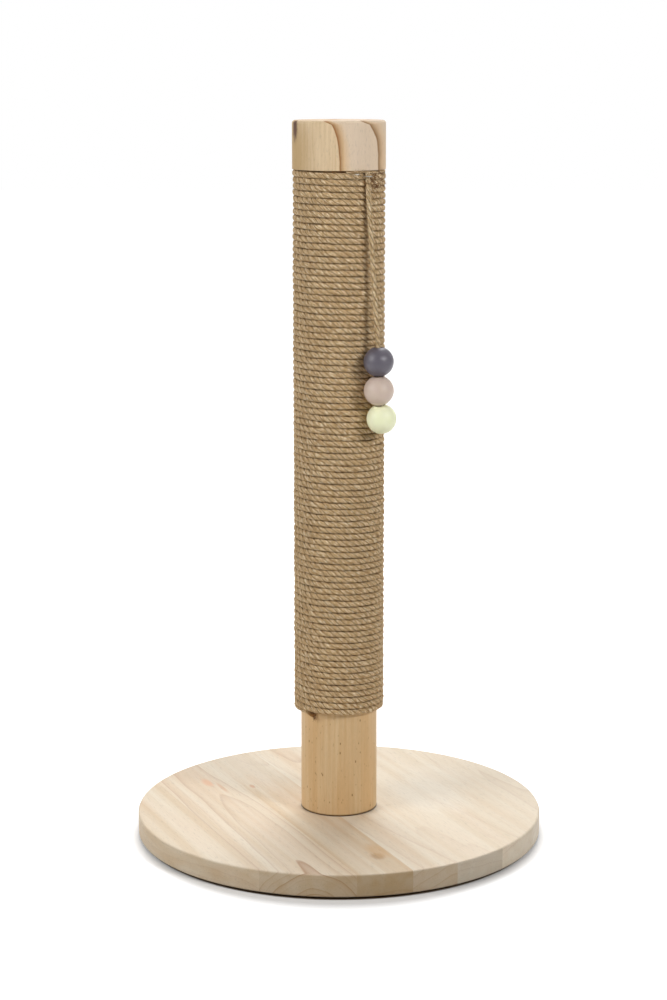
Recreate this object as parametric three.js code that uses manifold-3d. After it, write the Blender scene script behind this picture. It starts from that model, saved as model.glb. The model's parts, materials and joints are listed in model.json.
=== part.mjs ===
// Cat scratching post: a round edge-glued wooden base, a turned beech core wound with jute rope,
// a turned cap and a toy of three painted wooden beads on a cord. Millimetres, +Z up, floor at z = 0,
// post axis on Z, front towards -Y. Azimuths are degrees from the front towards +X.

import * as THREE from 'three';
import { mergeVertices } from 'three/addons/utils/BufferGeometryUtils.js';
import Module from 'manifold-3d';

// ---------------------------------------------------------------- driving dimensions

// Base panel, glued up from boards
const PANEL_DIAMETER = 400;
const PANEL_THICKNESS = 22;
const PANEL_EDGE_RADIUS = 2;
const BOARD_AZIMUTH = 24;                            // the boards run towards the front, this far to the right
const BOARD_JOINTS = [-143, -66, -14, 33, 90, 146];  // glue joints, measured across the boards from the axis
const GLUE_LINE = 0.1;

// Felt pads under the panel
const PAD_DIAMETER = 30;
const PAD_THICKNESS = 2;
const PAD_COUNT = 4;
const PAD_RING_DIAMETER = 320;
const PAD_FIRST_AZIMUTH = 45;

// Core and cap
const CORE_DIAMETER = 75;
const CORE_LENGTH = 630;
const CAP_OVERHANG = 0.2;                            // past the rope winding, all round
const CAP_HEIGHT = 46;
const CAP_TOP_RADIUS = 3;
const CAP_FOOT_RADIUS = 0.6;

// Bolt, washer and threaded insert that hold the core on the panel
const BOLT_DIAMETER = 8;
const BOLT_LENGTH = 45;
const BOLT_HEAD_DIAMETER = 14;
const BOLT_HEAD_HEIGHT = 4.5;
const BOLT_KEY_ACROSS_FLATS = 5;
const BOLT_KEY_DEPTH = 3;
const BOLT_POINT = 1;
const WASHER_DIAMETER = 18;
const WASHER_THICKNESS = 1.5;
const COUNTERBORE_DIAMETER = 22;
const COUNTERBORE_DEPTH = 8;
const INSERT_DIAMETER = 12;
const INSERT_FLANGE_DIAMETER = 16;
const INSERT_FLANGE_THICKNESS = 1.5;
const INSERT_LENGTH = 22;
const BOLT_HOLE_SPARE = 5;                           // depth left past the bolt's point

// Double-ended screw between core and cap
const CAP_SCREW_DIAMETER = 8;
const CAP_SCREW_HALF_LENGTH = 28;
const CAP_SCREW_POINT = 7;

// Rope winding: one left-handed helix, its first and last turns laid level
const ROPE_WIDTH = 6;                                // along the post, as the turns lie against each other
const ROPE_THICKNESS = 6.8;                          // out from the core
const ROPE_GROOVE_DEPTH = 2.4;
const WINDING_FOOT = 102.9;                          // bare core left showing above the panel
const ROPE_END_AZIMUTH = -36;                        // lower end
const ROPE_START_AZIMUTH = 9;                        // upper end
const END_LEVEL_TURNS = 0.6;                         // part of the last turn that lies level
const START_LEVEL_TURNS = 0.725;                     // part of the first turn that lies level under the cap
const STEPS_PER_TURN = 24;

// Staples
const STAPLE_WIRE = 1;
const STAPLE_LEG_LENGTH = 16;
const ROPE_STAPLE_AZIMUTH = 22.5;
const ROPE_STAPLE_INNER_WIDTH = 3.4;
const ROPE_STAPLE_DROP = 3.2;                        // below the cap
const CORD_STAPLE_DROP = 5;

// Toy: cord, its turning point under the staple, beads and knot
const CORD_DIAMETER = 4.6;
const CORD_AZIMUTH = 35;
const CORD_PIVOT_DROP = 9.4;                         // turning point of the cord, below the cap
const CORD_END_DROP = 0.8;                           // cut upper end of the cord, below the cap
const CORD_SIDES = 10;
const CORD_STEPS = 22;
const BEAD_DIAMETER = 28.6;
const BEAD_FLAT_DIAMETER = 10;
const BEAD_HOLE_DIAMETER = 8;
const BEAD_GAP = 0.8;                                // play between one bead's flat and the next
const KNOT_DIAMETER = 11.4;
const KNOT_HEIGHT = 8;
const KNOT_RECESS_DIAMETER = 13;
const KNOT_RECESS_DEPTH = 9.5;
const KNOT_SET_BACK = 0.6;                           // of the knot's lowest point, above the bead's lower flat

const CLEARANCE = 0.3;                               // between pieces that are fitted into or over each other

// ---------------------------------------------------------------- places that follow from them

const panelBottom = PAD_THICKNESS;
const panelTop = panelBottom + PANEL_THICKNESS;
const coreTop = panelTop + CORE_LENGTH;
const coreRadius = CORE_DIAMETER / 2;
const windingRadius = coreRadius + ROPE_THICKNESS;
const capRadius = windingRadius + CAP_OVERHANG;
const windingBottom = panelTop + WINDING_FOOT;
const windingTop = coreTop - CLEARANCE;
const boltSeat = panelBottom + COUNTERBORE_DEPTH;
const cordRadius = CORD_DIAMETER / 2;
const cordSeatRadius = windingRadius + CLEARANCE + cordRadius;
const beadHalfHeight = Math.sqrt((BEAD_DIAMETER / 2) ** 2 - (BEAD_FLAT_DIAMETER / 2) ** 2);
const beadPitch = 2 * beadHalfHeight + BEAD_GAP;

// The free cord's middle line, from just under its turning point, down and outwards because the beads
// rest against the winding, then plumb through the three beads to the knot.
const CORD_ROUTE = [
  [27.0, -38.5, 642.0],
  [27.6, -39.1, 630.0],
  [28.5, -39.7, 615.0],
  [29.5, -40.3, 600.0],
  [30.6, -40.8, 585.0],
  [31.6, -41.4, 570.0],
  [32.6, -42.0, 555.0],
  [33.6, -42.7, 540.0],
  [34.6, -43.3, 525.0],
  [35.5, -44.0, 510.0],
  [36.4, -44.7, 497.0],
  [37.0, -45.2, 487.0],
  [37.5, -45.6, 476.5],
  [37.5, -45.7, 463.0],
  [37.7, -45.5, 449.5],
  [38.8, -44.6, 436.0],
  [40.3, -43.2, 422.5],
  [41.0, -42.5, 416.7],
].map((point) => new THREE.Vector3(...point));

// ---------------------------------------------------------------- shared shape helpers

const wasm = await Module();
wasm.setup();

const SEGMENTS_LARGE = 72;
const SEGMENTS_MEDIUM = 48;
const SEGMENTS_SMALL = 24;
const ROUNDING_STEPS = 3;
const BEAD_ARC_STEPS = 10;
const CUT_MARGIN = 1;                                // how far a cutting body runs past what it cuts

function toSolid(geometry) {
  const bare = geometry.clone();
  bare.deleteAttribute('normal');
  bare.deleteAttribute('uv');
  const merged = mergeVertices(bare, 1e-4);
  const index = merged.index.array;
  const triangles = [];
  for (let i = 0; i < index.length; i += 3) {
    const [a, b, c] = [index[i], index[i + 1], index[i + 2]];
    if (a !== b && b !== c && c !== a) triangles.push(a, b, c);
  }
  return new wasm.Manifold(new wasm.Mesh({
    numProp: 3,
    vertProperties: Float32Array.from(merged.attributes.position.array),
    triVerts: Uint32Array.from(triangles),
  }));
}

function toGeometry(solid) {
  const mesh = solid.getMesh();
  const geometry = new THREE.BufferGeometry();
  geometry.setAttribute('position', new THREE.BufferAttribute(mesh.vertProperties, 3));
  geometry.setIndex(new THREE.BufferAttribute(mesh.triVerts, 1));
  geometry.computeVertexNormals();
  return geometry;
}

function subtractAll(geometry, cutters) {
  let solid = toSolid(geometry);
  for (const cutter of cutters) solid = solid.subtract(toSolid(cutter));
  return toGeometry(solid);
}

// A profile of [radius, height] points turned about Z.
function revolve(profile, segments) {
  const points = profile.map(([radius, height]) => new THREE.Vector2(radius, height));
  return new THREE.LatheGeometry(points, segments).rotateX(Math.PI / 2);
}

// An upright round bar between two heights.
function bar(radius, bottom, top, segments = SEGMENTS_SMALL) {
  const cylinder = new THREE.CylinderGeometry(radius, radius, top - bottom, segments);
  return cylinder.rotateX(Math.PI / 2).translate(0, 0, (bottom + top) / 2);
}

// Points of a rounded corner, centred at [radius, height], from one angle to another.
function roundedCorner(centreRadius, centreHeight, cornerRadius, fromDegrees, toDegrees, steps = ROUNDING_STEPS) {
  return Array.from({ length: steps + 1 }, (_, i) => {
    const angle = THREE.MathUtils.degToRad(fromDegrees + ((toDegrees - fromDegrees) * i) / steps);
    return [centreRadius + cornerRadius * Math.cos(angle), centreHeight + cornerRadius * Math.sin(angle)];
  });
}

// A point at a radius from the post's axis, an azimuth and a height.
function onPost(radius, azimuth, height) {
  const angle = THREE.MathUtils.degToRad(azimuth);
  return new THREE.Vector3(radius * Math.sin(angle), -radius * Math.cos(angle), height);
}

// Turns a shape made at the front of the post round to its azimuth.
function turnTo(geometry, azimuth) {
  return geometry.rotateZ(THREE.MathUtils.degToRad(azimuth));
}

// ---------------------------------------------------------------- materials

const finish = (color, roughness, metalness = 0) => () =>
  new THREE.MeshStandardMaterial({ color, roughness, metalness });

const panelWood = finish(0xd3c0a6, 0.6);
const coreWood = finish(0xb08a66, 0.6);
const capWood = finish(0xd8c2a4, 0.55);
const juteRope = finish(0x9a866c, 0.95);
const juteCord = finish(0xa08c72, 0.95);
const zincSteel = finish(0xb9bcc0, 0.35, 1);
const felt = finish(0x4a4540, 1);

const group = new THREE.Group();

function add(name, geometry, material) {
  const mesh = new THREE.Mesh(geometry, material());
  mesh.name = name;
  group.add(mesh);
  return mesh;
}

// ---------------------------------------------------------------- base panel and its pads

function panelBlank() {
  const radius = PANEL_DIAMETER / 2;
  const inner = radius - PANEL_EDGE_RADIUS;
  const blank = revolve([
    [0, panelBottom],
    ...roundedCorner(inner, panelBottom + PANEL_EDGE_RADIUS, PANEL_EDGE_RADIUS, -90, 0),
    ...roundedCorner(inner, panelTop - PANEL_EDGE_RADIUS, PANEL_EDGE_RADIUS, 0, 90),
    [0, panelTop],
  ], SEGMENTS_LARGE);
  const boltHoleRadius = BOLT_DIAMETER / 2 + CLEARANCE;
  return subtractAll(blank, [
    bar(boltHoleRadius, panelBottom - CUT_MARGIN, panelTop + CUT_MARGIN),
    bar(COUNTERBORE_DIAMETER / 2, panelBottom - CUT_MARGIN, boltSeat, SEGMENTS_MEDIUM),
  ]);
}

function addPanel() {
  const blank = toSolid(panelBlank());
  const rim = PANEL_DIAMETER / 2 + CUT_MARGIN;
  const edges = [-rim, ...BOARD_JOINTS, rim];
  for (let i = 0; i + 1 < edges.length; i += 1) {
    const left = edges[i] + GLUE_LINE / 2;
    const right = edges[i + 1] - GLUE_LINE / 2;
    const board = new THREE.BoxGeometry(right - left, 2 * rim, PANEL_THICKNESS + 2 * CUT_MARGIN);
    board.translate((left + right) / 2, 0, (panelBottom + panelTop) / 2);
    const stave = blank.intersect(toSolid(turnTo(board, BOARD_AZIMUTH)));
    add(`base_stave_${i + 1}`, toGeometry(stave), panelWood);
  }
}

function addPads() {
  for (let i = 0; i < PAD_COUNT; i += 1) {
    const azimuth = PAD_FIRST_AZIMUTH + (360 * i) / PAD_COUNT;
    const place = onPost(PAD_RING_DIAMETER / 2, azimuth, 0);
    const pad = add(`foot_pad_${i + 1}`, bar(PAD_DIAMETER / 2, 0, PAD_THICKNESS), felt);
    pad.position.copy(place);
  }
}

// ---------------------------------------------------------------- bolt, washer, insert and cap screw

function addBolt() {
  const headBottom = boltSeat - WASHER_THICKNESS - BOLT_HEAD_HEIGHT;
  const headTop = boltSeat - WASHER_THICKNESS;
  const shank = BOLT_DIAMETER / 2;
  const head = BOLT_HEAD_DIAMETER / 2;
  const tip = headTop + BOLT_LENGTH;
  const body = revolve([
    [0, headBottom],
    ...roundedCorner(head - 1, headBottom + 1, 1, -90, 0),
    [head, headTop],
    [shank, headTop],
    [shank, tip - BOLT_POINT],
    [shank - BOLT_POINT, tip],
    [0, tip],
  ], SEGMENTS_SMALL);
  const keyRadius = BOLT_KEY_ACROSS_FLATS / 2 / Math.cos(Math.PI / 6);
  const key = bar(keyRadius, headBottom - CUT_MARGIN, headBottom + BOLT_KEY_DEPTH, 6);
  add('base_bolt', subtractAll(body, [key]), zincSteel);
}

function addWasher() {
  const bore = BOLT_DIAMETER / 2 + CLEARANCE;
  const outer = WASHER_DIAMETER / 2;
  const bottom = boltSeat - WASHER_THICKNESS;
  const profile = [[bore, bottom], [outer, bottom], [outer, boltSeat], [bore, boltSeat], [bore, bottom]];
  add('base_washer', revolve(profile, SEGMENTS_SMALL), zincSteel);
}

function addInsert() {
  const bore = BOLT_DIAMETER / 2 + CLEARANCE;
  const flange = INSERT_FLANGE_DIAMETER / 2;
  const barrel = INSERT_DIAMETER / 2;
  const flangeTop = panelTop + INSERT_FLANGE_THICKNESS;
  const top = panelTop + INSERT_LENGTH;
  const profile = [
    [bore, panelTop],
    [flange, panelTop],
    [flange, flangeTop],
    [barrel, flangeTop],
    [barrel, top],
    [bore, top],
    [bore, panelTop],
  ];
  add('core_insert', revolve(profile, SEGMENTS_SMALL), zincSteel);
}

function addCapScrew() {
  const radius = CAP_SCREW_DIAMETER / 2;
  const low = coreTop - CAP_SCREW_HALF_LENGTH;
  const high = coreTop + CAP_SCREW_HALF_LENGTH;
  const profile = [
    [0, low],
    [radius, low + CAP_SCREW_POINT],
    [radius, high - CAP_SCREW_POINT],
    [0, high],
  ];
  add('cap_screw', revolve(profile, SEGMENTS_SMALL), zincSteel);
}

// The pilot holes that the double-ended screw stands in.
function capScrewHole() {
  const reach = CAP_SCREW_HALF_LENGTH + CLEARANCE;
  return bar(CAP_SCREW_DIAMETER / 2 + CLEARANCE, coreTop - reach, coreTop + reach);
}

// ---------------------------------------------------------------- staples

// A staple driven in from the front: crown across X, legs running back along +Y.
function stapleBlank(innerWidth, crownRadius, height) {
  const half = innerWidth / 2 + STAPLE_WIRE;
  const outline = new THREE.Shape();
  outline.moveTo(-half, 0);
  outline.lineTo(half, 0);
  outline.lineTo(half, STAPLE_LEG_LENGTH);
  outline.lineTo(half - STAPLE_WIRE, STAPLE_LEG_LENGTH);
  outline.lineTo(half - STAPLE_WIRE, STAPLE_WIRE);
  outline.lineTo(STAPLE_WIRE - half, STAPLE_WIRE);
  outline.lineTo(STAPLE_WIRE - half, STAPLE_LEG_LENGTH);
  outline.lineTo(-half, STAPLE_LEG_LENGTH);
  outline.closePath();
  const wire = new THREE.ExtrudeGeometry(outline, { depth: STAPLE_WIRE, bevelEnabled: false });
  return wire.translate(0, -crownRadius - STAPLE_WIRE, height - STAPLE_WIRE / 2);
}

// The two slots that a staple's legs go through in the rope and the core.
function stapleSlots(innerWidth, crownRadius, height) {
  const width = STAPLE_WIRE + 2 * CLEARANCE;
  const depth = STAPLE_LEG_LENGTH + CLEARANCE + CUT_MARGIN;
  return [-1, 1].map((side) => {
    const slot = new THREE.BoxGeometry(width, depth, width);
    const x = (side * (innerWidth + STAPLE_WIRE)) / 2;
    const y = -crownRadius - STAPLE_WIRE + STAPLE_LEG_LENGTH + CLEARANCE - depth / 2;
    return slot.translate(x, y, height);
  });
}

const staples = [
  {
    name: 'rope_staple',
    azimuth: ROPE_STAPLE_AZIMUTH,
    size: [ROPE_STAPLE_INNER_WIDTH, windingRadius + CLEARANCE, coreTop - ROPE_STAPLE_DROP],
  },
  {
    name: 'cord_staple',
    azimuth: CORD_AZIMUTH,
    size: [CORD_DIAMETER + 2 * CLEARANCE, cordSeatRadius + cordRadius + CLEARANCE, coreTop - CORD_STAPLE_DROP],
  },
];

const allStapleSlots = () => staples.flatMap(({ azimuth, size }) =>
  stapleSlots(...size).map((slot) => turnTo(slot, azimuth)));

function addStaples() {
  for (const { name, azimuth, size } of staples) {
    add(name, turnTo(stapleBlank(...size), azimuth), zincSteel);
  }
}

// ---------------------------------------------------------------- core and cap

function addCore() {
  const blank = bar(coreRadius, panelTop, coreTop, SEGMENTS_MEDIUM);
  const flangeRadius = INSERT_FLANGE_DIAMETER / 2 + CLEARANCE;
  const flangeTop = panelTop + INSERT_FLANGE_THICKNESS + CLEARANCE;
  const insertTop = panelTop + INSERT_LENGTH + CLEARANCE;
  const boltTop = boltSeat - WASHER_THICKNESS + BOLT_LENGTH + BOLT_HOLE_SPARE;
  add('post_core', subtractAll(blank, [
    bar(flangeRadius, panelTop - CUT_MARGIN, flangeTop),
    bar(INSERT_DIAMETER / 2 + CLEARANCE, panelTop - CUT_MARGIN, insertTop),
    bar(BOLT_DIAMETER / 2 + CLEARANCE, panelTop, boltTop),
    capScrewHole(),
    ...allStapleSlots(),
  ]), coreWood);
}

function addCap() {
  const top = coreTop + CAP_HEIGHT;
  const blank = revolve([
    [0, coreTop],
    ...roundedCorner(capRadius - CAP_FOOT_RADIUS, coreTop + CAP_FOOT_RADIUS, CAP_FOOT_RADIUS, -90, 0, 1),
    ...roundedCorner(capRadius - CAP_TOP_RADIUS, top - CAP_TOP_RADIUS, CAP_TOP_RADIUS, 0, 90),
    [0, top],
  ], SEGMENTS_LARGE);
  add('top_cap', subtractAll(blank, [capScrewHole()]), capWood);
}

// ---------------------------------------------------------------- rope winding

// The rope is wound as one helix from its upper end to its lower end, every turn against the next. Its
// outside is one unbroken rib: a crest line and a groove line that both follow the helix. The rib's first
// and last turns are laid level, so that they narrow to the rope's two ends.
function windingBlank() {
  const stepDegrees = 360 / STEPS_PER_TURN;
  const length = windingTop - windingBottom;
  const levelTurns = START_LEVEL_TURNS + END_LEVEL_TURNS;
  const offsetSteps = Math.round((ROPE_START_AZIMUTH - ROPE_END_AZIMUTH) / stepDegrees);
  const wholeTurns = Math.round(length / ROPE_WIDTH - 1 + levelTurns + offsetSteps / STEPS_PER_TURN);
  const steps = wholeTurns * STEPS_PER_TURN - offsetSteps;
  const pitch = length / (steps / STEPS_PER_TURN + 1 - levelTurns);

  const azimuthAt = (step) => ROPE_END_AZIMUTH - step * stepDegrees;
  const grooveHeight = (step) => THREE.MathUtils.clamp(
    windingBottom + pitch * (step / STEPS_PER_TURN - END_LEVEL_TURNS), windingBottom, windingTop);
  const crestHeight = (step) => (grooveHeight(step) + grooveHeight(step + STEPS_PER_TURN)) / 2;

  const positions = [];
  const line = (count, radius, height, offset = 0) => {
    const first = positions.length / 3;
    for (let i = 0; i < count; i += 1) {
      positions.push(...onPost(radius, azimuthAt(i + offset), height(i + offset)));
    }
    return (i) => first + i;
  };
  const grooveRadius = windingRadius - ROPE_GROOVE_DEPTH;
  const boreRadius = (coreRadius + CLEARANCE) / Math.cos(Math.PI / STEPS_PER_TURN);
  const groove = line(steps + STEPS_PER_TURN + 1, grooveRadius, grooveHeight);
  const crest = line(steps + 1, windingRadius, crestHeight);
  const boreLow = line(STEPS_PER_TURN + 1, boreRadius, grooveHeight);
  const boreHigh = line(STEPS_PER_TURN + 1, boreRadius, grooveHeight, steps);

  const index = [];
  const face = (...corners) => {
    for (let i = 1; i + 1 < corners.length; i += 1) index.push(corners[0], corners[i], corners[i + 1]);
  };
  for (let i = 0; i < steps; i += 1) {
    const above = i + STEPS_PER_TURN;
    face(groove(i), crest(i), crest(i + 1), groove(i + 1));
    face(crest(i), groove(above), groove(above + 1), crest(i + 1));
  }
  for (let i = 0; i < STEPS_PER_TURN; i += 1) {
    face(boreLow(i), groove(i), groove(i + 1), boreLow(i + 1));
    face(boreHigh(i + 1), groove(steps + i + 1), groove(steps + i), boreHigh(i));
  }
  // The bore's wall runs from the lower edge to the upper edge, column by column.
  const turnOffset = steps % STEPS_PER_TURN;
  for (let i = 0; i < STEPS_PER_TURN; i += 1) {
    const high = (i - turnOffset + STEPS_PER_TURN) % STEPS_PER_TURN;
    const low = [boreLow(i), boreLow(i + 1)];
    if (i === 0) low.unshift(boreLow(STEPS_PER_TURN));
    const top = [boreHigh(high + 1), boreHigh(high)];
    if (high + 1 === STEPS_PER_TURN) top.unshift(boreHigh(0));
    face(...low, ...top);
  }
  // The rope's two cut ends.
  face(boreLow(0), boreLow(STEPS_PER_TURN), groove(STEPS_PER_TURN), crest(0), groove(0));
  face(boreHigh(STEPS_PER_TURN), boreHigh(0), groove(steps), crest(steps), groove(steps + STEPS_PER_TURN));

  const geometry = new THREE.BufferGeometry();
  geometry.setAttribute('position', new THREE.Float32BufferAttribute(positions, 3));
  geometry.setIndex(index);

  let leastRise = Infinity;
  for (let i = STEPS_PER_TURN; i + 2 * STEPS_PER_TURN < steps; i += 1) {
    leastRise = Math.min(leastRise, crestHeight(i + STEPS_PER_TURN) - crestHeight(i));
  }
  console.log(`rope winding: ${(steps / STEPS_PER_TURN).toFixed(2)} turns, pitch ${pitch.toFixed(3)} mm, `
    + `least rise from crest to crest ${leastRise.toFixed(3)} mm, the turns touching`);
  return geometry;
}

function addWinding() {
  add('rope_winding', subtractAll(windingBlank(), allStapleSlots()), juteRope);
}

// ---------------------------------------------------------------- bead toy

function cordSection() {
  const section = new THREE.Shape();
  section.absarc(0, 0, cordRadius, 0, 2 * Math.PI);
  return section;
}

function addCord() {
  const pivot = onPost(cordSeatRadius, CORD_AZIMUTH, coreTop - CORD_PIVOT_DROP);
  const reach = cordRadius + CLEARANCE;

  const endBottom = pivot.z + reach;
  const endTop = coreTop - CORD_END_DROP;
  const end = add('toy_cord_end', bar(cordRadius, endBottom, endTop, CORD_SIDES), juteCord);
  end.position.set(pivot.x, pivot.y, 0);

  const neck = new THREE.SphereGeometry(cordRadius, 16, 10).rotateX(Math.PI / 2);
  add('toy_cord_neck', neck, juteCord).position.copy(pivot);

  const curve = new THREE.CatmullRomCurve3(CORD_ROUTE);
  const tube = new THREE.ExtrudeGeometry(cordSection(), {
    steps: CORD_STEPS,
    curveSegments: CORD_SIDES,
    extrudePath: curve,
    bevelEnabled: false,
  });
  add('toy_cord', tube, juteCord);
  return curve;
}

// A turned bead with flats at its hole. A recess, where it has one, opens at the lower flat.
function beadBlank(recessRadius = 0, recessDepth = 0) {
  const hole = BEAD_HOLE_DIAMETER / 2;
  const flatAngle = THREE.MathUtils.radToDeg(Math.acos(BEAD_FLAT_DIAMETER / BEAD_DIAMETER));
  const outside = roundedCorner(0, 0, BEAD_DIAMETER / 2, -flatAngle, flatAngle, BEAD_ARC_STEPS);
  const inside = [[hole, beadHalfHeight]];
  if (recessRadius > 0) {
    const shoulder = recessDepth - beadHalfHeight;
    inside.push([hole, shoulder], [recessRadius, shoulder], [recessRadius, -beadHalfHeight]);
  } else {
    inside.push([hole, -beadHalfHeight]);
  }
  const start = inside[inside.length - 1];
  const rimWidth = outside[0][0] - start[0];
  const flat = rimWidth > 0 ? outside : outside.slice(1);
  return revolve([start, ...flat, ...inside], SEGMENTS_SMALL);
}

const beads = [
  { name: 'bead_lime', paint: finish(0xecedc8, 0.4), recess: [KNOT_RECESS_DIAMETER / 2, KNOT_RECESS_DEPTH] },
  { name: 'bead_rose', paint: finish(0xcbb8ab, 0.4), recess: [] },
  { name: 'bead_slate', paint: finish(0x6b6770, 0.4), recess: [] },
];

// The beads are threaded on the cord, the lowest held up by the knot in its recess.
function addBeads(curve) {
  const length = curve.getLength();
  const up = new THREE.Vector3(0, 0, 1);
  const knotTop = KNOT_SET_BACK + KNOT_HEIGHT;
  const lowestCentre = beadHalfHeight - knotTop - CLEARANCE;
  beads.forEach(({ name, paint, recess }, i) => {
    const u = 1 - (lowestCentre + i * beadPitch) / length;
    const bead = add(name, beadBlank(...recess), paint);
    bead.position.copy(curve.getPointAt(u));
    bead.quaternion.setFromUnitVectors(up, curve.getTangentAt(u).negate());
    console.log(name, bead.position.toArray().map((v) => v.toFixed(3)).join(' '),
      'axis', curve.getTangentAt(u).negate().toArray().map((v) => v.toFixed(5)).join(' '),
      'from the post axis', Math.hypot(bead.position.x, bead.position.y).toFixed(3));
  });
  const downwards = curve.getTangentAt(1);
  const knot = new THREE.SphereGeometry(KNOT_DIAMETER / 2, 16, 10).rotateX(Math.PI / 2);
  knot.scale(1, 1, KNOT_HEIGHT / KNOT_DIAMETER);
  const lump = add('cord_knot', knot, juteCord);
  lump.position.copy(curve.getPointAt(1)).addScaledVector(downwards, KNOT_HEIGHT / 2 + CLEARANCE);
  lump.quaternion.setFromUnitVectors(up, downwards.clone().negate());
  console.log(`toy cord ${length.toFixed(1)} mm long, knot at`,
    lump.position.toArray().map((v) => v.toFixed(2)).join(' '));
}

// ---------------------------------------------------------------- assembly

addPanel();
addPads();
addBolt();
addWasher();
addInsert();
addCore();
addCapScrew();
addCap();
addWinding();
addStaples();
addBeads(addCord());

export default group;
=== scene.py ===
# %% [markdown]
# # A cat scratching post
#
# A round base glued up from pale boards carries a turned beech core. Jute rope is wound round the core in
# one unbroken helix, a turned cap closes the top, and three painted beads hang from a staple on a cord.
#
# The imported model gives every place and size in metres, +Z up, with the floor at z = 0 and the front
# towards -Y. This file gives the pieces their fine shapes and their finishes.

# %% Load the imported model
import json
import math

import bmesh
import bpy
from mathutils import Matrix, Vector


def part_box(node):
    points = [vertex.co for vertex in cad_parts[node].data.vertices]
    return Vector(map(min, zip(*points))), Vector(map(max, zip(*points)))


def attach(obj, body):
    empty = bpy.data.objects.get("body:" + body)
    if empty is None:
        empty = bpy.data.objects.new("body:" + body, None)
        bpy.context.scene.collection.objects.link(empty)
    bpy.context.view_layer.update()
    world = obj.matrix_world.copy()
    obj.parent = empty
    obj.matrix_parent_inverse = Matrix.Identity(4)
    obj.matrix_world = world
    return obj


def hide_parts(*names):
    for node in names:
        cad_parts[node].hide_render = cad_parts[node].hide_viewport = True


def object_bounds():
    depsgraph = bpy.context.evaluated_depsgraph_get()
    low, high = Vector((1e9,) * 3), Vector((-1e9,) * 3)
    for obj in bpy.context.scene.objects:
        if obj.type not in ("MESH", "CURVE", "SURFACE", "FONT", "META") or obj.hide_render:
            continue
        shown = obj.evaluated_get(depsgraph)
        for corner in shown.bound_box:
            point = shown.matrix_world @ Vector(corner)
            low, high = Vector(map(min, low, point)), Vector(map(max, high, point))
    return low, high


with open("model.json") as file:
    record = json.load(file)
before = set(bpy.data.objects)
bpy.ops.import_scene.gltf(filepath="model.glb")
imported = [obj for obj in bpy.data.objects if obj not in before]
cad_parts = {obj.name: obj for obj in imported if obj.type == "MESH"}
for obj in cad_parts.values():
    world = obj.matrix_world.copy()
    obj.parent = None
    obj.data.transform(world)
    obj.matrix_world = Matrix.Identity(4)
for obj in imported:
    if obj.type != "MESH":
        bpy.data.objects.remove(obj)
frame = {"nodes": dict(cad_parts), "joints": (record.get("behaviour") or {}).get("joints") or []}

MM = 0.001
cad_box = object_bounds()
core_low, core_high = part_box("post_core")
cap_low, cap_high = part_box("top_cap")
winding_low, winding_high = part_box("rope_winding")

# %% [markdown]
# ## The camera
#
# A photograph of a product is taken from some way off with a long lens, so that upright edges stay nearly
# parallel. The focal length, the camera's height and its tilt were solved from the base's outline, the
# core's foot and the cap. The shift moves the post a few pixels off the middle, as it is framed.

# %% Camera
PICTURE_WIDTH = 667
PICTURE_HEIGHT = 1000
SENSOR_MM = 36.0
FOCAL_PIXELS = 2224.2
POST_COLUMN = 338.97
CAMERA_DISTANCE = 2130.0 * MM
CAMERA_HEIGHT = 746.4 * MM
CAMERA_TILT = math.radians(10.947)

scene = bpy.context.scene
scene.view_settings.view_transform = "Standard"

camera_data = bpy.data.cameras.new("camera")
camera_data.sensor_width = SENSOR_MM
camera_data.lens = FOCAL_PIXELS / PICTURE_HEIGHT * SENSOR_MM
camera_data.shift_x = (PICTURE_WIDTH / 2 - POST_COLUMN) / PICTURE_HEIGHT
camera = bpy.data.objects.new("camera", camera_data)
camera.location = (0, -CAMERA_DISTANCE, CAMERA_HEIGHT)
camera.rotation_euler = (math.pi / 2 - CAMERA_TILT, 0, 0)
scene.collection.objects.link(camera)
scene.camera = camera
print(f"camera: {camera_data.lens:.1f} mm lens, {CAMERA_DISTANCE:.2f} m away")

# %% [markdown]
# ## Helpers for nodes and meshes
#
# Materials and Geometry Nodes trees are both made of nodes, so one function serves both. It sets the node's
# properties, then fills its sockets in order or by name, with a value or with a link from another node.
# Colours are written as they look on a screen, and one function turns them to the linear values that
# shaders work in. Kinds of node that come up often, some with a setting, have names of their own.

# %% Node helper
def linear(code):
    """A colour written as sRGB hex, such as "d8c4a6", as linear red, green, blue and alpha."""
    channels = [int(code[i:i + 2], 16) / 255 for i in (0, 2, 4)]
    return [c / 12.92 if c <= 0.04045 else ((c + 0.055) / 1.055) ** 2.4 for c in channels] + [1.0]


def output_of(source):
    """The first socket in use when a node is given, or the socket itself."""
    if isinstance(source, bpy.types.Node):
        return next(socket for socket in source.outputs if socket.enabled)
    return source


def fill(tree, socket, value):
    """Links a socket to another node's, or gives it a plain value, where a colour may be a hex code."""
    value = output_of(value)
    if isinstance(value, bpy.types.NodeSocket):
        tree.links.new(value, socket)
    elif value is not None:
        is_code = socket.type == "RGBA" and isinstance(value, str)
        socket.default_value = linear(value) if is_code else value


def add(tree, kind, inputs=(), **settings):
    """Adds a node with its settings, and fills its sockets in order, or by name if inputs is a dict.
    A kind is a type of node, or a pair of its type and the settings that it is often used with."""
    kind, usual_settings = kind if isinstance(kind, tuple) else (kind, {})
    node = tree.nodes.new(kind)
    for name, value in {**usual_settings, **settings}.items():
        setattr(node, name, value)
    sockets = [socket for socket in node.inputs if socket.enabled]
    for key, value in inputs.items() if isinstance(inputs, dict) else enumerate(inputs):
        socket = sockets[key] if isinstance(key, int) else next(s for s in sockets if s.name == key)
        fill(tree, socket, value)
    return node


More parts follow.
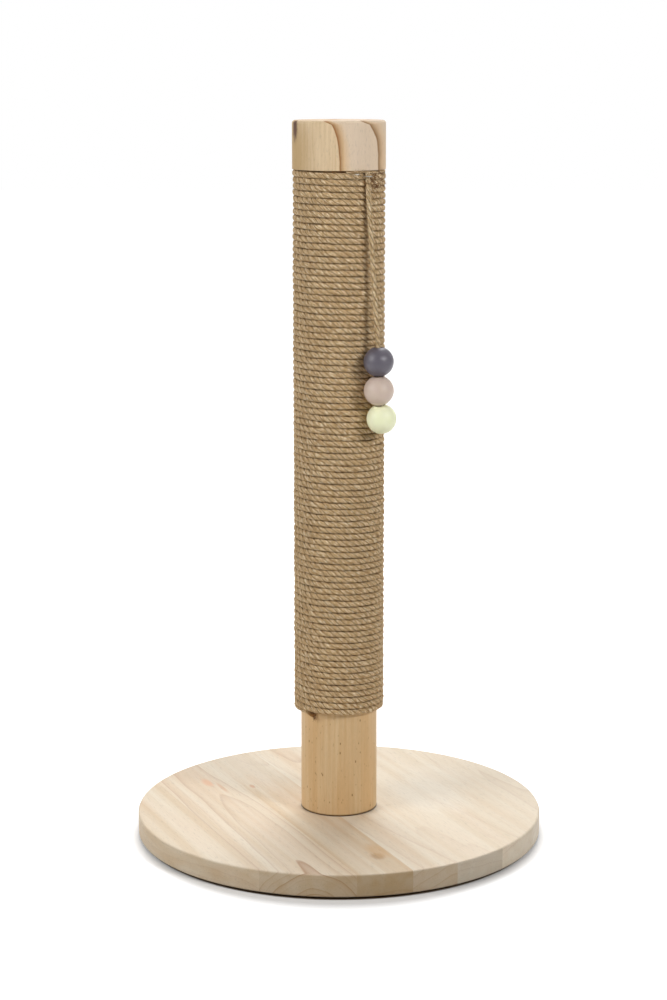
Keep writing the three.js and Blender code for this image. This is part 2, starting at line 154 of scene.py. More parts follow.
MATH = "ShaderNodeMath"
VECTOR_MATH = "ShaderNodeVectorMath"
MAP_RANGE = "ShaderNodeMapRange"
NOISE = "ShaderNodeTexNoise"
ATTRIBUTE = "ShaderNodeAttribute"
PRINCIPLED = "ShaderNodeBsdfPrincipled"
SEPARATE = "ShaderNodeSeparateXYZ"
COMBINE = "ShaderNodeCombineXYZ"
MULTIPLY, MULTIPLY_ADD, ADD, SUBTRACT, DIVIDE, POWER, MAXIMUM, ABSOLUTE, COSINE, SQRT = [
    (MATH, {"operation": name}) for name in (
        "MULTIPLY", "MULTIPLY_ADD", "ADD", "SUBTRACT", "DIVIDE", "POWER", "MAXIMUM", "ABSOLUTE", "COSINE",
        "SQRT")]
VECTOR_MULTIPLY, VECTOR_ADD, VECTOR_SUBTRACT, VECTOR_DIVIDE, VECTOR_SCALE, VECTOR_LENGTH, VECTOR_DOT = [
    (VECTOR_MATH, {"operation": name}) for name in (
        "MULTIPLY", "ADD", "SUBTRACT", "DIVIDE", "SCALE", "LENGTH", "DOT_PRODUCT")]
MIX_COLOUR, MIX_NUMBER = [("ShaderNodeMix", {"data_type": kind}) for kind in ("RGBA", "FLOAT")]
SMOOTH_RANGE = (MAP_RANGE, {"interpolation_type": "SMOOTHSTEP"})
NOISE_ALONG = (NOISE, {"noise_dimensions": "1D"})
STORE_NUMBER, STORE_VECTOR = [
    ("GeometryNodeStoreNamedAttribute", {"data_type": kind, "domain": "POINT"})
    for kind in ("FLOAT", "FLOAT_VECTOR")]


def new_material(name):
    """A material and its tree, emptied."""
    material = bpy.data.materials.new(name)
    material.use_nodes = True
    material.node_tree.nodes.clear()
    return material, material.node_tree


def finish_material(tree, surface, relief=None):
    """Ends a material's tree with its surface, and a relief given as its strength, depth and height."""
    if relief:
        bump = add(tree, "ShaderNodeBump", dict(zip(("Strength", "Distance", "Height"), relief)))
        surface = {**surface, "Normal": bump}
    add(tree, "ShaderNodeOutputMaterial", (add(tree, PRINCIPLED, surface),))


def stained_and_shaded(tree, colour, *stains_and_shades):
    """A colour with others laid over it one by one, each given as its share and its colour; some are painted
    shade and light.
    """
    for share, layer_colour in stains_and_shades:
        colour = add(tree, MIX_COLOUR, (share, colour, layer_colour))
    return colour


print("a mid grey of 808080 is", round(linear("808080")[0], 3), "in linear light")

# %% Mesh helpers
SMOOTH_BELOW = math.radians(35)
SMALL_SEGMENTS = 48          # flat sides of a small turned piece, and of one as wide as the post
POST_SEGMENTS = 144


def new_piece(name, mesh, material):
    """A mesh as an object at the origin, smooth but for its real edges, with its faces pointing out."""
    work = bmesh.new()
    work.from_mesh(mesh)
    bmesh.ops.recalc_face_normals(work, faces=work.faces)
    work.to_mesh(mesh)
    work.free()
    mesh.shade_smooth()
    mesh.set_sharp_from_angle(angle=SMOOTH_BELOW)
    mesh.materials.clear()
    mesh.materials.append(material)
    piece = bpy.data.objects.new(name, mesh)
    scene.collection.objects.link(piece)
    return piece


def turned(name, profile, segments, material, place=Matrix()):
    """A profile of (radius, height) points turned about Z and set in place. It starts and ends on the
    axis, or it closes on itself round a bore."""
    bored = profile[0] == profile[-1]
    points = profile[:-1] if bored else profile
    vertices, rings = [], []
    for radius, height in points:
        count = 1 if radius == 0 else segments
        rings.append([len(vertices) + i for i in range(count)])
        for i in range(count):
            angle = 2 * math.pi * i / segments
            vertices.append(place @ Vector((radius * math.cos(angle), radius * math.sin(angle), height)))
    faces = []
    for lower, upper in zip(rings, rings[1:] + (rings[:1] if bored else [])):
        for i in range(segments):
            j = (i + 1) % segments
            corners = [ring[k % len(ring)] for ring, k in ((lower, i), (lower, j), (upper, j), (upper, i))]
            faces.append(list(dict.fromkeys(corners)))
    mesh = bpy.data.meshes.new(name)
    mesh.from_pydata(vertices, [], [face for face in faces if len(face) > 2])
    return new_piece(name, mesh, material)


def rounded(centre_radius, centre_height, radius, start, end, steps):
    """Points of a rounded edge on a turned profile, from one angle to another in degrees."""
    angles = [math.radians(start + (end - start) * i / steps) for i in range(steps + 1)]
    return [(centre_radius + radius * math.cos(a), centre_height + radius * math.sin(a)) for a in angles]


def edges_rounded(radius, low, high, low_edge, high_edge, low_steps, high_steps):
    """The outside of a turned piece from its underside to its top, with both its edges rounded."""
    return (rounded(radius - low_edge, low + low_edge, low_edge, -90, 0, low_steps)
            + rounded(radius - high_edge, high - high_edge, high_edge, 0, 90, high_steps))


def hand_over(piece, body, slot_name, *nodes):
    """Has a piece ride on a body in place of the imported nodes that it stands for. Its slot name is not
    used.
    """
    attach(piece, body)
    if nodes:
        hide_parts(*nodes)


def on_post(radius, azimuth, height):
    """A point at a radius from the post's axis, an azimuth in degrees from the front, and a height."""
    angle = math.radians(azimuth)
    return Vector((radius * math.sin(angle), -radius * math.cos(angle), height))


def new_tree(name, inputs):
    """A Geometry Nodes tree with a Geometry socket and the named inputs, and the sockets they come in by."""
    tree = bpy.data.node_groups.new(name, "GeometryNodeTree")
    for label, kind in {"Geometry": "NodeSocketGeometry", **inputs}.items():
        tree.interface.new_socket(label, in_out="INPUT", socket_type=kind)
    tree.interface.new_socket("Geometry", in_out="OUTPUT", socket_type="NodeSocketGeometry")
    return tree, tree.nodes.new("NodeGroupInput").outputs


def finish_tree(tree, geometry, material):
    """Ends a tree: its instances are made real and take their material."""
    real = add(tree, "GeometryNodeRealizeInstances", (geometry,))
    coated = add(tree, "GeometryNodeSetMaterial", {"Geometry": real, "Material": material})
    add(tree, "NodeGroupOutput", (coated,))


def grown(name, tree, inputs, material, vertices=((0, 0, 0),), edges=(), faces=(), skin=None):
    """Runs a tree on a copy of a skin, or on bare points, edges and faces, and keeps what it makes."""
    carrier_mesh = skin.copy() if skin else bpy.data.meshes.new(name + "_carrier")
    if not skin:
        carrier_mesh.from_pydata(vertices, edges, faces)
    carrier = bpy.data.objects.new(name + "_carrier", carrier_mesh)
    scene.collection.objects.link(carrier)
    modifier = carrier.modifiers.new("grow", "NODES")
    modifier.node_group = tree
    sockets = {item.name: item.identifier for item in tree.interface.items_tree if item.in_out == "INPUT"}
    for label, value in inputs.items():
        modifier[sockets[label]] = value
    graph = bpy.context.evaluated_depsgraph_get()
    mesh = bpy.data.meshes.new_from_object(
        carrier.evaluated_get(graph), preserve_all_data_layers=True, depsgraph=graph)
    bpy.data.objects.remove(carrier)
    mesh.name = name
    piece = new_piece(name, mesh, material)
    print(f"{name}: {sum(len(face.vertices) - 2 for face in mesh.polygons)} triangles")
    return piece


FLOAT = "NodeSocketFloat"
VECTOR = "NodeSocketVector"
INTEGER = "NodeSocketInt"

# %% [markdown]
# ## Jute
#
# Jute is a dull golden-brown bast fibre, spun into yarns and laid up in strands. Light sinks in between the
# fibres, so the surface is matt. The crests of the strands are pale, and the grooves between them are
# painted dark as shade. The material reads an attribute that the rope tree stores: how far a point is along
# the rope and where it lies on its strand. Noise that is drawn out along the rope then looks like fibres
# that follow every strand. A second attribute says how near a point is to the next turn, where the colour is
# painted deep brown as shade. Short pale flecks are painted highlights.

# %% Jute material
FIBRE_WIDTH = 0.75 * MM      # real fibres are 0.05 mm; bundles of them are drawn this coarse to show
FIBRE_LENGTH = 5.0 * MM
MOTTLE_LENGTH = 16.0 * MM    # paler and darker stretches of yarn
FLECK_LENGTH = 3.0 * MM      # short pale bundles, painted as highlights
FLECK_WIDTH = 0.9 * MM


def jute(name, pale, dark, groove, groove_share):
    """Jute in its paler and darker yarns, the colour of the painted shade between its strands, and how much
    shows.
    """
    material, tree = new_material(name)
    space = add(tree, ATTRIBUTE, attribute_name="rope_space").outputs["Vector"]
    crest = add(tree, ATTRIBUTE, attribute_name="strand_crest").outputs["Fac"]
    side = add(tree, ATTRIBUTE, attribute_name="turn_side").outputs["Fac"]
    along = add(tree, SEPARATE, (space,)).outputs["X"]

    fibres, mottle, flecks = [
        add(tree, NOISE, {"Vector": add(tree, VECTOR_MULTIPLY, (space, (1 / length, 1 / width, 1 / width))),
                          "Scale": 1.0, "Detail": detail, "Roughness": 0.6}).outputs["Fac"]
        for length, width, detail in ((FIBRE_LENGTH, FIBRE_WIDTH, 3.0), (MOTTLE_LENGTH, 3 * MM, 2.0),
                                      (FLECK_LENGTH, FLECK_WIDTH, 1.0))]
    fibre_share = add(tree, MAP_RANGE, (fibres, 0.34, 0.66))
    mottle_share = add(tree, MAP_RANGE, (mottle, 0.25, 0.75))
    share = add(tree, MIX_NUMBER, (0.35, fibre_share, mottle_share))
    yarn = add(tree, MIX_COLOUR, (share, dark, pale))
    # Painted highlights: pale flecks stand for bundles of fibre catching the light.
    painted_highlight = add(tree, MAP_RANGE, (flecks, 0.53, 0.68, 0.0, 0.9))
    dull = add(tree, MAP_RANGE, (flecks, 0.46, 0.3, 0.0, 0.65))
    # Painted shade: the colour is darkened in the grooves between the strands and between the turns.
    depth = add(tree, SMOOTH_RANGE, (crest, 0.75, 0.05, 0.0, groove_share))
    dashed_side = add(tree, MULTIPLY_ADD, (crest, -0.3, side))
    ragged_side = add(tree, MULTIPLY_ADD, (add(tree, SUBTRACT, (mottle, 0.5)), 0.5, dashed_side))
    painted_turn_shade = add(tree, MAP_RANGE, (ragged_side, 0.5, 0.86, 0.0, 0.85))
    frayed = add(tree, MULTIPLY_ADD, (mottle, 8 * MM, along))
    glued = add(tree, MAP_RANGE, (frayed, 7 * MM, 13 * MM, 0.9, 0.0))
    colour = stained_and_shaded(tree, yarn, (dull, "8a6840"), (painted_highlight, "f6e6c6"), (depth, groove),
                     (painted_turn_shade, "553000"), (glued, "94642f"))
    finish_material(tree, {"Base Color": colour, "Roughness": 0.9, "Specular IOR Level": 0.15,
                           "Sheen Weight": 0.06, "Sheen Roughness": 0.6}, (0.9, 0.5 * MM, fibres))
    return material


jute_rope = jute("three_strand_jute_rope", "e2c699", "b59061", "6f4314", 0.55)
jute_cord = jute("three_strand_jute_cord", "dcc298", "ab895c", "573b1b", 0.85)
print("jute: bundles of fibre", FIBRE_WIDTH / MM, "mm wide")

# %% [markdown]
# ## Laid rope, as a tree of its own
#
# Three strands twisted together show from outside as bulges that cross the rope at a slant. They could be
# modelled as three separate helices, but they press into each other, so one skin is enough: a section with
# three lobes, swept along the rope's line while it turns once for each lay length. A positive lay turns
# like a right-handed screw, and the ropes of the two trees below use this tree with lays of their own.

# %% Tree: three strands laid together
STRANDS = 3

tree, given = new_tree("laid_strands", {
    "Along": FLOAT, "Radius": FLOAT, "Lay Length": FLOAT, "Groove Depth": FLOAT,
    "Points per Strand": INTEGER, "Lay Wander": FLOAT})
turns = add(tree, DIVIDE, (given["Along"], given["Lay Length"]))
looser = add(tree, NOISE_ALONG, {"W": given["Along"], "Scale": 1 / (24 * MM), "Detail": 2.0})
lay_noise = add(tree, SUBTRACT, (looser, 0.5))
wandering = add(tree, MULTIPLY_ADD, (lay_noise, given["Lay Wander"], turns))
tilt = add(tree, MULTIPLY, (wandering, 2 * math.pi))
tilted = add(tree, "GeometryNodeSetCurveTilt", {"Curve": given["Geometry"], "Tilt": tilt})
point_count = add(tree, MULTIPLY, (given["Points per Strand"], STRANDS))
circle = add(tree, "GeometryNodeCurvePrimitiveCircle",
             {"Resolution": point_count, "Radius": given["Radius"]})
index = add(tree, "GeometryNodeInputIndex")
lobe_angle = add(tree, MULTIPLY, (add(tree, DIVIDE, (index, given["Points per Strand"])), math.pi))
lobe = add(tree, ABSOLUTE, (add(tree, COSINE, (lobe_angle,)),))
crest = add(tree, SQRT, (lobe,))
least = add(tree, SUBTRACT, (1.0, given["Groove Depth"]))
lobe_scale = add(tree, MAP_RANGE, (crest, 0.0, 1.0, least, 1.0))
place = add(tree, "GeometryNodeInputPosition")
lobed_place = add(tree, VECTOR_SCALE, (place, lobe_scale))
lobed = add(tree, "GeometryNodeSetPosition", {"Geometry": circle, "Position": lobed_place})
marked = add(tree, STORE_NUMBER, {"Geometry": lobed, "Name": "strand_crest", "Value": crest})
placed = add(tree, STORE_VECTOR, {"Geometry": marked, "Name": "strand_place", "Value": place})
swept = add(tree, "GeometryNodeCurveToMesh",
            {"Curve": tilted, "Profile Curve": placed,
             "Scale": add(tree, "GeometryNodeInputRadius"), "Fill Caps": True})
strand_place = add(tree, "GeometryNodeInputNamedAttribute", ("strand_place",), data_type="FLOAT_VECTOR")
strand_x, strand_y, _ = add(tree, SEPARATE, (strand_place,)).outputs
rope_space = add(tree, COMBINE, (given["Along"], strand_x, strand_y))
spaced = add(tree, STORE_VECTOR, {"Geometry": swept, "Name": "rope_space", "Value": rope_space})
add(tree, "NodeGroupOutput", (spaced,))
strands_tree = tree


def lay_strands(tree, given, line, radius, wander):
    """Lays strands on a line that holds its length so far, by the lay that a tree is given."""
    lay = {label: given[label] for label in ("Lay Length", "Groove Depth", "Points per Strand")}
    return add(tree, "GeometryNodeGroup", {"Geometry": line, "Along": line.outputs["Along"],
                                           "Radius": radius, **lay, "Lay Wander": wander},
               node_tree=strands_tree)


print("laid strands:", len(tree.nodes), "nodes")

# %% [markdown]
# ## The cord of the toy
#
# The cord is thinner than the rope and laid the other way. It hangs by a staple under the cap and leans
# outwards, because its beads rest against the winding. Its line is a list of points with a smooth curve
# through them. The tree turns the line into a curve, spaces its points evenly and lays the strands on it.

# %% Tree: a cord on a line of points
tree, given = new_tree("laid_cord", {
    "Diameter": FLOAT, "Lay Length": FLOAT, "Groove Depth": FLOAT, "Points per Strand": INTEGER,
    "Spacing": FLOAT, "Start Along": FLOAT, "Rounded Ends": FLOAT})
line = add(tree, "GeometryNodeMeshToCurve", (given["Geometry"],))
smooth_line = add(tree, "GeometryNodeCurveSplineType", {"Curve": line}, spline_type="CATMULL_ROM")
even = add(tree, "GeometryNodeResampleCurve",
           {"Curve": smooth_line, "Length": given["Spacing"]}, mode="LENGTH")
parameter = add(tree, "GeometryNodeSplineParameter")
along = add(tree, ADD, (parameter.outputs["Length"], given["Start Along"]))
whole = add(tree, "GeometryNodeSplineLength").outputs["Length"]
to_end = add(tree, SUBTRACT, (whole, parameter.outputs["Length"]))
nearest_end = add(tree, MATH, (to_end, parameter.outputs["Length"]), operation="MINIMUM")
end_share = add(tree, MAP_RANGE, (nearest_end, 0.0, given["Rounded Ends"], 1.0, 0.0))
end_square = add(tree, MULTIPLY, (end_share, end_share))
end_scale = add(tree, SQRT, (add(tree, SUBTRACT, (1.02, end_square)),))
narrowed = add(tree, "GeometryNodeSetCurveRadius", {"Curve": even, "Radius": end_scale})
held = add(tree, "GeometryNodeCaptureAttribute", {"Geometry": narrowed})
held.capture_items.new("FLOAT", "Along")
tree.links.new(along.outputs[0], held.inputs["Along"])
half = add(tree, MULTIPLY, (given["Diameter"], 0.5))
laid = lay_strands(tree, given, held, half, 0.15)
finish_tree(tree, laid, jute_cord)
cord_tree = tree
print("laid cord:", len(tree.nodes), "nodes")

# %% The free cord
CORD_DIAMETER = 4.6 * MM
CORD_LAY = 25.0 * MM
CORD_GROOVE = 0.24
CORD_RINGS = 0.7 * MM
PAST_THE_GLUE = 50 * MM      # the jute is drawn from here on, because its first stretch shows glue
CORD_ROUTE_MM = [(27.0, -38.5, 642.0), (27.6, -39.1, 630.0), (28.5, -39.7, 615.0), (29.5, -40.3, 600.0),
                 (30.6, -40.8, 585.0), (31.6, -41.4, 570.0), (32.6, -42.0, 555.0), (33.6, -42.7, 540.0),
                 (34.6, -43.3, 525.0), (35.5, -44.0, 510.0), (36.4, -44.7, 497.0), (37.0, -45.2, 487.0),
                 (37.5, -45.6, 476.5), (37.5, -45.7, 463.0), (37.7, -45.5, 449.5), (38.8, -44.6, 436.0),
                 (40.3, -43.2, 422.5), (41.0, -42.5, 416.7)]
cord_route = [Vector(point) * MM for point in CORD_ROUTE_MM]


def laid_cord(name, points, body, node, rounded_ends=CORD_DIAMETER / 2, diameter=CORD_DIAMETER):
    """A stretch of the toy's cord along points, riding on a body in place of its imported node."""
    inputs = {"Diameter": diameter, "Lay Length": -CORD_LAY, "Groove Depth": CORD_GROOVE,
              "Points per Strand": 8, "Spacing": CORD_RINGS, "Start Along": PAST_THE_GLUE,
              "Rounded Ends": rounded_ends}
    edges = [(i, i + 1) for i in range(len(points) - 1)]
    piece = grown(name, cord_tree, inputs, jute_cord, points, edges)
    hand_over(piece, body, "jute_cord", node)
    return piece


toy_cord = laid_cord("toy_cord_laid", cord_route, "cord", "toy_cord")

# %% [markdown]
# The cord above its turning point is stapled to the post, and a small barrel of cord at the turning point
# covers the gap in every pose. The beads are held up by a tight overhand knot, tucked in the lowest bead.
# An overhand knot is a trefoil, whose line has a formula, so the same tree lays the cord along it.

# %% The stapled end, the bend and the knot
KNOT_STEPS = 48
KNOT_CORD = 3.4 * MM         # the cord is drawn thin where the knot is pulled tight
CUT_END = 0.8 * MM           # how far a cut end is rounded


def joint_called(name):
    """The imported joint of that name, with its place and axis."""
    return next(joint for joint in frame["joints"] if joint["name"] == name)


pivot = Vector(joint_called("toy_swing_side")["pos_m"])
neck_half = CORD_DIAMETER / 2 + 0.5 * MM
end_low, end_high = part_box("toy_cord_end")
up = Vector((0, 0, 1))
toy_cord_end = laid_cord(
    "toy_cord_stapled_end", [pivot + up * (z - pivot.z) for z in (end_low.z, end_high.z)], "root",
    "toy_cord_end", rounded_ends=CUT_END)
toy_cord_neck = laid_cord("toy_cord_bend", [pivot - up * neck_half, pivot + up * neck_half], "cord_neck",
                          "toy_cord_neck", rounded_ends=neck_half)

knot_low, knot_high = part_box("cord_knot")
knot_centre = (knot_low + knot_high) / 2
knot_radius = (knot_high.x - knot_low.x) / 2 - KNOT_CORD / 2
knot_reach = (knot_high.z - knot_low.z) / 2 - KNOT_CORD / 2


def trefoil(share):
    """A point on the overhand knot's line, whose loops reach 3 units out and 1 unit up and down."""
    t = 2 * math.pi * share
    flat = Vector((math.sin(t) + 2 * math.sin(2 * t), math.cos(t) - 2 * math.cos(2 * t), 0))
    return knot_centre + flat * (knot_radius / 3) - up * knot_reach * math.sin(3 * t)


cord_knot = laid_cord("cord_knot_tied", [trefoil(i / KNOT_STEPS) for i in range(KNOT_STEPS + 1)], "cord",
                      "cord_knot", rounded_ends=CUT_END, diameter=KNOT_CORD)

# %% [markdown]
# ## The beads
#
# Toy beads are turned from beech, bored, and drum-painted, so the paint is satin, a little uneven, and it
# lies thinner on the edges of the hole. Each is a profile turned about its own cord: a sphere with flats at
# the hole, softly rounded edges and an open bore. The lowest has a wider recess for the knot.

# %% Bead paint
def drum_paint(name, coat, thin):
    """Satin paint over turned wood: its colour, and the colour where it lies thin over the grain."""
    material, tree = new_material(name)
    place = add(tree, "ShaderNodeTexCoord").outputs["Object"]
    grain_space = add(tree, VECTOR_MULTIPLY, (place, (1 / (2.5 * MM), 1 / (2.5 * MM), 1 / (9 * MM))))
    grain = add(tree, NOISE, {"Vector": grain_space, "Scale": 1.0, "Detail": 3.0, "Roughness": 0.55})
    cloud = add(tree, NOISE, {"Vector": place, "Scale": 1 / (11 * MM), "Detail": 1.0})
    both = add(tree, MIX_NUMBER, (0.6, grain, cloud))
    thinness = add(tree, MAP_RANGE, (both, 0.38, 0.66, 0.0, 0.55))
    colour = add(tree, MIX_COLOUR, (thinness, coat, thin))
    roughness = add(tree, MAP_RANGE, (grain, 0.0, 1.0, 0.38, 0.52))
    skin = add(tree, NOISE, {"Vector": place, "Scale": 1 / (0.9 * MM), "Detail": 1.0})
    height = add(tree, MULTIPLY_ADD, (grain, 0.8, skin))
    from_cord = add(tree, ATTRIBUTE, attribute_name="from_cord").outputs["Fac"]
    kept = add(tree, MAP_RANGE, (from_cord, 4.4 * MM, 5.8 * MM))
    finish_material(tree, {"Base Color": colour, "IOR": 1.5, "Coat Roughness": 0.35,
                           "Roughness": add(tree, MIX_NUMBER, (kept, 0.95, roughness)),
                           "Specular IOR Level": add(tree, MULTIPLY, (kept, 0.5)),
                           "Coat Weight": add(tree, MULTIPLY, (kept, 0.2))}, (0.25, 0.06 * MM, height))
    return material


# %% Turn and thread the beads
BEAD_DIAMETER = 28.6 * MM
BEAD_FLAT_DIAMETER = 10.0 * MM
BEAD_HOLE_DIAMETER = 8.0 * MM
KNOT_RECESS_DIAMETER = 13.0 * MM
KNOT_RECESS_DEPTH = 9.5 * MM
BEAD_EDGE = 0.5 * MM
BEAD_STEPS = 40
BEAD_SEGMENTS = 96
BEADS = [  # the colour, as paint and where it lies thin, and the radius of the knot's recess
    ("slate", "534e59", "615c65", 0.0),
    ("rose", "d2bcae", "dbc8b4", 0.0),
    ("lime", "fbfed2", "fdfdde", KNOT_RECESS_DIAMETER / 2),
]

flat_angle = math.degrees(math.acos(BEAD_FLAT_DIAMETER / BEAD_DIAMETER))
bead_half = math.sqrt((BEAD_DIAMETER / 2) ** 2 - (BEAD_FLAT_DIAMETER / 2) ** 2)


def bead(colour, material, recess_radius):
    """A painted bead about the cord, in place of its CAD node. A recess opens at its lower flat."""
    joint = joint_called(f"{colour}_bead_spin")
    hole = BEAD_HOLE_DIAMETER / 2
    outside = rounded(0, 0, BEAD_DIAMETER / 2, -flat_angle, flat_angle, BEAD_STEPS)
    upper_bore = rounded(hole + BEAD_EDGE, bead_half - BEAD_EDGE, BEAD_EDGE, 90, 180, 4)
    if recess_radius:
        shoulder = KNOT_RECESS_DEPTH - bead_half
        lower_bore = [(hole, shoulder), (recess_radius, shoulder), (recess_radius, -bead_half + BEAD_EDGE)]
        outside = [point for point in outside if point[0] > recess_radius + BEAD_EDGE]
    else:
        lower_bore = rounded(hole + BEAD_EDGE, -bead_half + BEAD_EDGE, BEAD_EDGE, 180, 270, 4)
    profile = outside + upper_bore + lower_bore
    place = Matrix.Translation(Vector(joint["pos_m"]))
    place = place @ up.rotation_difference(Vector(joint["axis"])).to_matrix().to_4x4()
    piece = turned(f"bead_{colour}_painted", profile + profile[:1], BEAD_SEGMENTS, material, place)
    back = place.inverted()
    distances = [(back @ vertex.co).xy.length for vertex in piece.data.vertices]
    attribute = piece.data.attributes.new("from_cord", "FLOAT", "POINT")
    attribute.data.foreach_set("value", distances)
    hand_over(piece, f"{colour}_bead", f"{colour}_paint", f"bead_{colour}")
    return piece


beads = [bead(colour, drum_paint(f"{colour}_paint_on_beech", coat, thin), recess_radius)
         for colour, coat, thin, recess_radius in BEADS]
print("beads:", *[piece.name for piece in beads])

# %% [markdown]
# The photograph shows the cord from its staple to its beads, so its length is what the route measures.

# %% [markdown]
# ## The rope winding
#
# The post is wound with one length of rope, each turn pressed against the one before. Closed rings stacked
# up would miss what the eye looks for: the turns climb as they go round, and the first and last run level,
# so that the rope narrows to a wedge at each end. The tree draws a helix by rule. A straight line is cut
# into evenly spaced points, each point's share of the turns gives its azimuth, and its height lies halfway
# between the groove below it and the groove above it. Both grooves stop at the winding's level edges,
# which squeezes the rope there by itself. A little noise keeps the turns from looking machined.

# %% Tree: rope wound on a post
tree, given = new_tree("post_winding", {
    "Low": FLOAT, "High": FLOAT, "Bend Radius": FLOAT, "Turns": FLOAT, "First Turn": FLOAT,
    "Last Turn": FLOAT, "End Azimuth": FLOAT, "Level End": FLOAT, "Level Start": FLOAT, "Rings": INTEGER,
    "Thickness": FLOAT, "Pitch": FLOAT, "Lay Length": FLOAT, "Groove Depth": FLOAT,
    "Points per Strand": INTEGER, "Wander": FLOAT, "Droop": FLOAT, "Unevenness": FLOAT, "Flatness": FLOAT})
straight = add(tree, "GeometryNodeCurvePrimitiveLine", {"End": (0, 0, 1)})
points = add(tree, "GeometryNodeResampleCurve", {"Curve": straight, "Count": given["Rings"]}, mode="COUNT")
counted = add(tree, "GeometryNodeCaptureAttribute", {"Geometry": points})
counted.capture_items.new("FLOAT", "Share")
tree.links.new(add(tree, "GeometryNodeSplineParameter").outputs["Factor"], counted.inputs["Share"])
turn = add(tree, MAP_RANGE, (counted.outputs["Share"], 0.0, 1.0, given["First Turn"], given["Last Turn"]))
next_turn = add(tree, ADD, (turn, 1.0))
rise_end = add(tree, SUBTRACT, (add(tree, ADD, (given["Turns"], 1.0)), given["Level Start"]))
groove_below, groove_above = [
    add(tree, MAP_RANGE, (position, given["Level End"], rise_end, given["Low"], given["High"]))
    for position in (turn, next_turn)]
middle = add(tree, MULTIPLY, (add(tree, ADD, (groove_below, groove_above)), 0.5))
width = add(tree, SUBTRACT, (groove_above, groove_below))
turn_length = add(tree, MULTIPLY, (given["Bend Radius"], 2 * math.pi))
along = add(tree, MULTIPLY, (turn, turn_length))
azimuth = add(tree, MULTIPLY_ADD, (turn, -2 * math.pi, given["End Azimuth"]))
outwards = add(tree, COMBINE,
               (add(tree, MATH, (azimuth,), operation="SINE"),
                add(tree, MULTIPLY, (add(tree, COSINE, (azimuth,)), -1.0))))
wander = add(tree, NOISE_ALONG, {"W": along, "Scale": 1 / (26 * MM), "Detail": 2.0})
offsets = add(tree, SEPARATE, (add(tree, VECTOR_SUBTRACT, (wander.outputs["Color"], (0.5, 0.5, 0.5))),))
sag = add(tree, SMOOTH_RANGE, (along, 0.0, 9 * MM, given["Droop"], 0.0))
height = add(tree, MULTIPLY_ADD, (offsets.outputs["X"], given["Wander"], middle))
height_sagged = add(tree, SUBTRACT, (height, sag))
bend = add(tree, MULTIPLY_ADD, (offsets.outputs["Y"], given["Wander"], given["Bend Radius"]))
ring_place = add(tree, VECTOR_ADD,
                 (add(tree, VECTOR_SCALE, (outwards, bend)), add(tree, COMBINE, {"Z": height_sagged})))
helix = add(tree, "GeometryNodeSetPosition", {"Geometry": counted, "Position": ring_place})
plumpness = add(tree, NOISE_ALONG, {"W": along, "Scale": 1 / (13 * MM), "Detail": 2.0})
plump_noise = add(tree, SUBTRACT, (plumpness, 0.5))
plump = add(tree, MULTIPLY_ADD, (plump_noise, given["Unevenness"], 1.0))
full_width = add(tree, "GeometryNodeSetCurveRadius", {"Curve": helix, "Radius": plump})
level = add(tree, "GeometryNodeSetCurveNormal", (full_width,), mode="Z_UP")
squeeze = add(tree, MAXIMUM, (add(tree, DIVIDE, (width, given["Pitch"])), 0.45))
held = add(tree, "GeometryNodeCaptureAttribute", {"Geometry": level})
for kind, label, source in (("VECTOR", "Centre", ring_place), ("VECTOR", "Outwards", outwards),
                            ("FLOAT", "Squeeze", squeeze), ("FLOAT", "Along", along)):
    held.capture_items.new(kind, label)
    tree.links.new(output_of(source), held.inputs[label])
half = add(tree, MULTIPLY, (given["Thickness"], 0.5))
laid = lay_strands(tree, given, held, half, 0.5)
across = add(tree, VECTOR_SUBTRACT, (add(tree, "GeometryNodeInputPosition"), held.outputs["Centre"]))
out_part = add(tree, VECTOR_DOT, (across, held.outputs["Outwards"]))
up_part = add(tree, SEPARATE, (across,)).outputs["Z"]
width_share = add(tree, MULTIPLY,
                  (add(tree, DIVIDE, (given["Pitch"], given["Thickness"])), held.outputs["Squeeze"]))
out_share = add(tree, DIVIDE, (out_part.outputs["Value"], half))
out_square = add(tree, MULTIPLY, (out_share, out_share))
flattened = add(tree, MULTIPLY_ADD, (out_square, given["Flatness"], 1.0))
squeezed_up = add(tree, MULTIPLY, (add(tree, MULTIPLY, (up_part, width_share)), flattened))
squeezed_place = add(tree, VECTOR_ADD,
                     (add(tree, VECTOR_SCALE, (held.outputs["Outwards"], out_part.outputs["Value"])),
                      add(tree, COMBINE, {"Z": squeezed_up})))
pressed = add(tree, "GeometryNodeSetPosition",
              {"Geometry": laid,
               "Position": add(tree, VECTOR_ADD, (held.outputs["Centre"], squeezed_place))})
turn_side = add(tree, ABSOLUTE, (add(tree, DIVIDE, (up_part, half)),))
side_marked = add(tree, STORE_NUMBER, {"Geometry": pressed, "Name": "turn_side", "Value": turn_side})
finish_tree(tree, side_marked, jute_rope)
winding_tree = tree
print("post winding:", len(tree.nodes), "nodes")

# %% Wind the post
WINDING_TURNS = 87.875
ROPE_END_AZIMUTH = -36.0
LEVEL_END_TURNS = 0.6
LEVEL_START_TURNS = 0.725
ROPE_THICKNESS = 6.8 * MM
ROPE_LAY = 21.0 * MM
ROPE_CLEARANCE = 0.3 * MM
RINGS_PER_TURN = 216
WINDING_PIECES = 4

